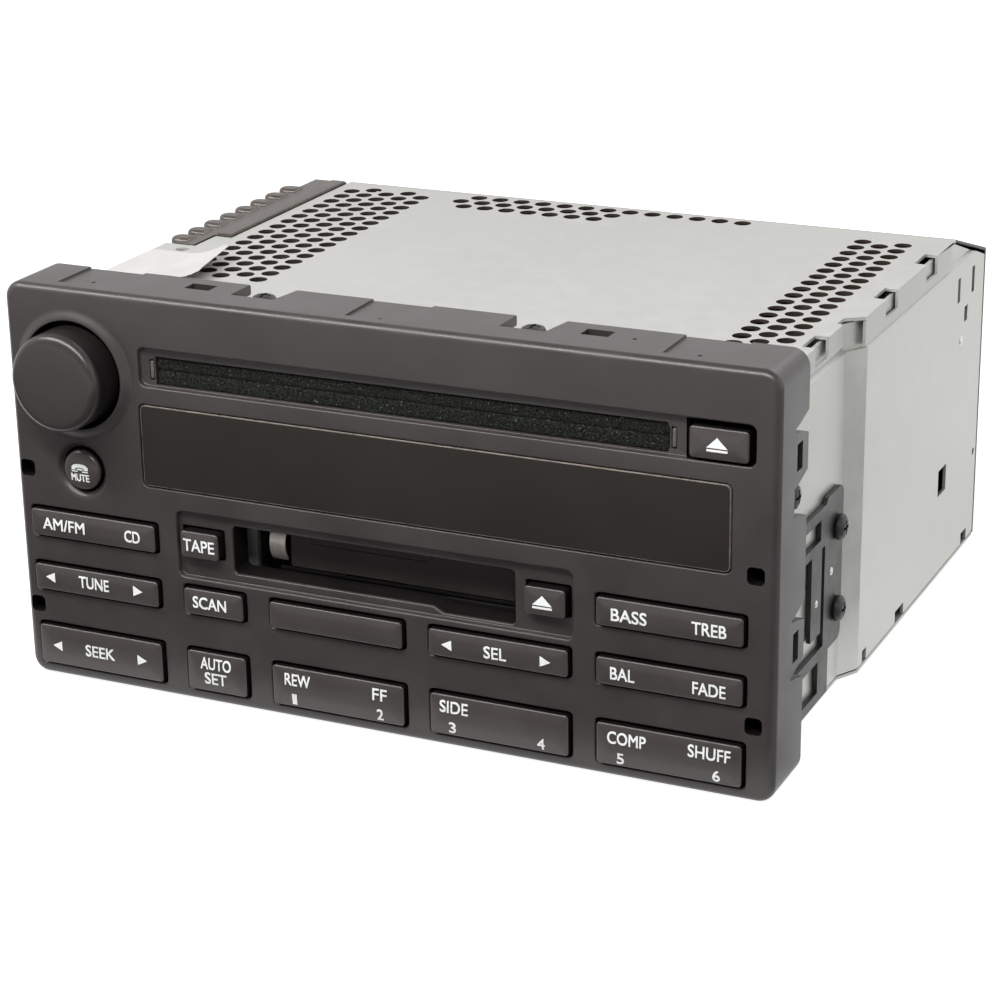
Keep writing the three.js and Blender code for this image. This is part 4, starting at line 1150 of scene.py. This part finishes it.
def sticker():
    """A blank label on the cover whose inner end has come unstuck and curls up."""
    x, y = (-90.6, -67.6), (36.8, 58.4)
    base = CASE["top"] + 0.17
    steps = 26
    work = bmesh.new()
    layers = []
    for lift in (0.14, 0):
        rows = []
        for j in range(steps + 1):
            v = y[0] + (y[1] - y[0]) * j / steps
            row = []
            end = x[1] + 0.19 * (y[1] - v)
            for i in range(steps + 1):
                u = x[0] + (end - x[0]) * i / steps
                curl = max(0.0, (u + 77 + 0.3 * (v - 48)) / 10.4)
                height = base + 3.1 * curl ** 2 + 0.05 * noise.noise(Vector((u, v, 0)) * 0.4) + 0.05
                row.append(work.verts.new(P(u - 0.5 * curl ** 3, v, min(height, base + 3.1) + lift)))
            rows.append(row)
        layers.append(rows)
    for above, (a, b, c, d) in zip(*[grid_cells(rows) for rows in layers]):
        work.faces.new(above)
        work.faces.new((a, d, c, b))
    outer, inner = (grid_rim(rows) for rows in layers)
    for k in range(len(outer)):
        after = (k + 1) % len(outer)
        work.faces.new((outer[k], inner[k], inner[after], outer[after]))
    mesh = bpy.data.meshes.new("blank_label")
    bake(work, mesh)
    return finish_mesh("blank_label", mesh, ["label"], 60)


rides(sticker(), ROOT, "label_film", "label_sticker")


def vent_painted_shade_sheet():
    """A dark sheet, painted shade, that hangs under the vented cover."""
    shape = Shape(ACROSS["z"])
    shape.solid(rounded((-77, 86), (36, 139.5), 4, 5),
                [(-0.1, 87.3), (0, 87.38), (0, 87.55), (-0.1, 87.62)])
    return shape.object("vent_painted_shade_sheet", ["film"])


rides(vent_painted_shade_sheet(), ROOT, "black_plastic")


# ---------------------------------------------------------------- heat sink
SINK = {"y": 66.4, "root": -86.4, "tip": -92.4, "fins": 8, "pitch": 8, "radius": 2.6, "top": 92.1}


def fin_crowns():
    """Rounded tops that raise the fins a little above the heat sink's bar."""
    shape = Shape(ACROSS["z"])
    radius, top, roll = SINK["radius"], SINK["top"], 1.2
    for k in range(SINK["fins"]):
        first = SINK["y"] + 2 + k * SINK["pitch"]
        centre = (SINK["tip"] + radius, first + radius)
        outline = [(SINK["root"], first), (SINK["root"], first + 2 * radius)]
        for step in range(11):
            angle = math.pi / 2 + math.pi * step / 10
            outline.append((centre[0] + radius * math.cos(angle), centre[1] + radius * math.sin(angle)))
        pairs = [(0.02, 88.3)]
        for step in range(6):
            angle = math.pi / 2 * step / 5
            pairs.append((0.02 - roll * (1 - math.cos(angle)), top - roll * (1 - math.sin(angle))))
        shape.solid(outline, pairs)
    return shape.object("fin_crowns", ["aluminium"], 40)


def sink_rail():
    """The raised rail along the bar, next to the cover."""
    shape = Shape(ACROSS["z"])
    shape.solid(rounded((-83.4, -79.2), (77.6, 139.7), 0.3, 2),
                [(0, 91.2), (0, 91.65), (-0.08, 91.8), (-0.3, 91.88)])
    return shape.object("sink_rail", ["aluminium"])


rides(fin_crowns(), ROOT, "dark_aluminium")
rides(sink_rail(), ROOT, "dark_aluminium")


# ---------------------------------------------------------------- screws
REAR_FACE = 171.1  # the outside of the rear plate


def cross_recess(piece, u, v, span, place):
    """Cuts a cross for the screwdriver about a point of the head."""
    reach, half, inner = 1.7, 0.36, 0.5
    arm = [(reach, -half), (reach, half), (inner, half), (half, inner)]
    outline = []
    for _ in range(4):
        outline += [(u + a, v + b) for a, b in arm]
        arm = [(-b, a) for a, b in arm]
    combine(piece, [prism(outline, span, place)], "DIFFERENCE")
    shade(piece.data, 40)


def rear_screw(name, x, z):
    """A low pan-head screw that holds the dark rear plate."""
    seat = REAR_FACE
    profile = [(0.4, seat - 0.3), (1.3, seat - 0.3), (1.3, seat), (2.7, seat), (2.7, seat + 0.3),
               (2.5, seat + 0.65), (1.9, seat + 0.95), (1, seat + 1.12), (0.4, seat + 1.15)]
    piece = Shape().revolve((x, z), profile, 40).object(name, ["black_steel"])
    cross_recess(piece, x, z, (seat + 0.45, seat + 2), ACROSS["y"])
    return rides(piece, ROOT, "black_steel")


def screw(name, node, radius, axis, side):
    """A domed machine screw with a cross recess; its seat is read from the CAD node's box."""
    spans = node_span(node)
    along = "xyz".index(axis)
    centre = [middle(spans[k]) for k in range(3) if k != along]
    low, high = spans[along]
    head, seat = (high, high - 1.9) if side > 0 else (low, low + 1.9)
    tip = low if side > 0 else high
    profile = [(0.5, head), (1.2, head - side * 0.03), (1.9, head - side * 0.18), (2.5, head - side * 0.45),
               (radius - 0.15, head - side * 0.85), (radius, head - side * 1.2),
               (radius, seat + side * 0.15), (radius - 0.12, seat), (1.35, seat), (1.35, tip)]
    piece = Shape(ACROSS[axis]).revolve(centre, profile, 40).object(name, ["black_steel"], 40)
    cross_recess(piece, *centre, sorted((head + side, head - side)), ACROSS[axis])
    return rides(piece, ROOT, "black_steel", node)


for node, radius, axis, side in (
        ("bezel_screw_top_left", 2.9, "z", 1), ("bezel_screw_top_right", 2.9, "z", 1),
        ("bezel_screw_right", 2.9, "x", 1), ("bezel_screw_left", 2.9, "x", -1),
        ("right_clip_screw_upper", 3.1, "x", 1), ("right_clip_screw_lower", 3.1, "x", 1),
        ("left_clip_screw_upper", 3.1, "x", -1), ("left_clip_screw_lower", 3.1, "x", -1)):
    screw(node + "_head", node, radius, axis, side)
for name, x, z in (("rear_screw_a", -72.5, 9), ("rear_screw_b", 85.5, 9),
                   ("rear_screw_c", -72.5, 75), ("rear_screw_d", 85.5, 75)):
    rear_screw(name, x, z)


def rivet(name, side, x, y, z, radius, slot):
    """A flat round head, slightly domed, on a wall that faces sideways."""
    profile = [(radius * share, side * (x + height)) for share, height in
               ((0.35, 0.3), (0.75, 0.24), (0.93, 0.14), (1, 0), (1, -0.25))]
    shape = Shape(ACROSS["x"]).revolve((y, z), profile, 28)
    rides(shape.object(name, ["rivet"], 50), ROOT, slot)


CLIP_FACE = 89.8  # how far out the release clips' outer faces lie
for side, word in ((1, "right"), (-1, "left")):
    rivet(word + "_clip_rivet", side, CLIP_FACE, 52.8, 34.6, 1.0, "plated_steel")
    rivet(word + "_leaf_rivet", side, CLIP_FACE, 42.3, 30.4, 0.9, "plated_steel")
rivet("wall_pip", 1, CASE["right"], 150, 62.6, 1.3, "galvanised_steel")


# ---------------------------------------------------------------- carried-over CAD nodes
KEEP = {
    "steel": ["front_frame", "bottom_cover"],
    "steel_side": ["right_side", "left_side"],
    "black_steel": ["rear_panel", "right_release_clip", "left_release_clip"],
    "aluminium": ["heat_sink"],
    "board": ["main_board", "front_board"],
    "silicone": ["keypad_mat"],
    "black_plastic": ["volume_encoder", "display_module", "amplifier_chip", "power_connector",
                      "cd_turntable", "cd_feed_roller", "cd_laser_pickup"],
    "plated": ["tuner_module", "antenna_socket", "cd_deck_frame", "tape_deck_frame", "tape_flywheel",
               "tape_head"],
    "pale": ["volume_shaft", "tape_spindle_front", "tape_spindle_rear", "ribbon_cable"],
    "spring": ["tape_guide_spring"],
}
ROUND_EDGES = {"right_release_clip": 0.3, "left_release_clip": 0.3, "heat_sink": 0.45, "right_side": 0.22,
               "left_side": 0.22, "rear_panel": 0.3, "bottom_cover": 0.2, "power_connector": 0.2,
               "antenna_socket": 0.2, "tape_guide_spring": 0.06}


def round_edges(node, width):
    """Softens a CAD node's edges with modifiers alone; its mesh stays as packed."""
    piece = bpy.data.objects[node]
    weld = piece.modifiers.new("weld", "WELD")
    weld.merge_threshold = 2e-6
    bevel = piece.modifiers.new("edges", "BEVEL")
    bevel.width, bevel.segments, bevel.limit_method = width * MM, 3, "ANGLE"
    bevel.angle_limit = math.radians(35)
    bevel.harden_normals = True


for look, names in KEEP.items():
    for name in names:
        for slot in bpy.data.objects[name].material_slots:
            slot.material = LOOK[look]
        if name in ROUND_EDGES:
            round_edges(name, ROUND_EDGES[name])


# ---------------------------------------------------------------- room and light
def light_path_white(tree, plain, white):
    """Mixes to `white` for camera, glossy and transmission rays."""
    path = tree.nodes.new("ShaderNodeLightPath")
    seen = path.outputs["Is Camera Ray"]
    for other in ("Is Glossy Ray", "Is Transmission Ray"):
        seen = wired(tree, "ShaderNodeMath", seen, path.outputs[other], operation="MAXIMUM").outputs[0]
    return wired(tree, "ShaderNodeMixShader", seen, plain.outputs[0], white.outputs[0])


WHITE = (1, 1, 1, 1)
# how the walls darken in reflections, towards the ceiling and before the face: the direction's
# part along an axis goes from, to, and the strength goes from, to; the camera sees them white
REFLECTED_FALL = (("Z", (0.45, 0.8, 1.0, 0.15)), ("Y", (-0.9, -0.2, 0.3, 1.0)))


def add_world():
    world = bpy.data.worlds.new("studio")
    bpy.context.scene.world = world
    world.use_nodes = True
    tree = world.node_tree
    tree.nodes.clear()
    plain = wired(tree, "ShaderNodeBackground", WHITE, 0.18)
    place = tree.nodes.new("ShaderNodeTexCoord").outputs["Generated"]
    direction = wired(tree, "ShaderNodeSeparateXYZ", place)
    falls = [wired(tree, "ShaderNodeMapRange", direction.outputs[axis], *numbers).outputs[0]
             for axis, numbers in REFLECTED_FALL]
    both = wired(tree, "ShaderNodeMath", *falls, operation="MULTIPLY")
    seen = tree.nodes.new("ShaderNodeLightPath").outputs["Is Camera Ray"]
    strength = wired(tree, "ShaderNodeMath", both.outputs[0], seen, operation="MAXIMUM")
    white = wired(tree, "ShaderNodeBackground", WHITE, strength.outputs[0])
    mix = light_path_white(tree, plain, white)
    wired(tree, "ShaderNodeOutputWorld", mix.outputs[0])


def flat_piece(name, corners, height):
    """A flat stage piece that lies level at a height in metres."""
    mesh = bpy.data.meshes.new(name)
    mesh.from_pydata([(x, y, 0) for x, y in corners], [], [tuple(range(len(corners)))])
    piece = placed(name, mesh)
    piece.location.z = height
    return piece


def add_floor():
    size = 6
    floor = flat_piece("floor", [(-size, -size), (size, -size), (size, size), (-size, size)], -0.0002)
    material = bpy.data.materials.new("floor_paper")
    material.use_nodes = True
    tree = material.node_tree
    tree.nodes.clear()
    diffuse = wired(tree, "ShaderNodeBsdfDiffuse", (0.4, 0.4, 0.4, 1))
    glow = wired(tree, "ShaderNodeEmission", WHITE, 0.9)
    both = wired(tree, "ShaderNodeAddShader", diffuse.outputs[0], glow.outputs[0])
    mix = light_path_white(tree, diffuse, both)
    wired(tree, "ShaderNodeOutputMaterial", mix.outputs[0])
    floor.data.materials.append(material)


def add_softbox(name, at, aim, size, power):
    data = bpy.data.lights.new(name, "AREA")
    data.shape, data.size, data.size_y, data.energy = "RECTANGLE", *size, power
    at, aim = Vector(at), Vector(aim)
    turn = (aim - at).to_track_quat("-Z", "Y").to_matrix().to_4x4()
    placed(name, data).matrix_world = Matrix.Translation(at) @ turn


def add_flag(name, corners, tone):
    """A dark card on the floor. Only reflections show it, as a photographer's flag."""
    card = flat_piece(name, corners, 0.0006)
    material = bpy.data.materials.new(name + "_card")
    material.use_nodes = True
    material.node_tree.nodes["Principled BSDF"].inputs["Base Color"].default_value = (tone, tone, tone, 1)
    card.data.materials.append(material)
    card.visible_camera = card.visible_diffuse = card.visible_shadow = card.visible_transmission = False


# corners in metres, and how light the card is
FLAGS = {
    "front_flag": ([(-0.6, -0.31), (0.4, -0.31), (0.4, -0.096), (-0.6, -0.096)], 0.03),
    "side_flag": ([(0.1, -0.09), (0.45, -0.09), (0.45, 0.2), (0.24, 0.22), (0.1, -0.06)], 0.42),
}
# place, aim and size in metres, and power in watts
LAMPS = {
    "key": ((-0.1, -0.36, 0.5), (0, -0.05, 0.08), (0.9, 0.09), 5.7),
    "overhead": ((0.3, 0.6, 0.8), (0, 0.02, 0.08), (0.8, 0.6), 3.0),
    "right": ((1.05, 0.38, 0.45), (0.08, 0.03, 0.05), (1.6, 0.9), 2.6),
}
add_world()
add_floor()
for name, flag in FLAGS.items():
    add_flag(name, *flag)
for name, lamp in LAMPS.items():
    add_softbox(name, *lamp)

scene = bpy.context.scene
scene.view_settings.view_transform = "Standard"
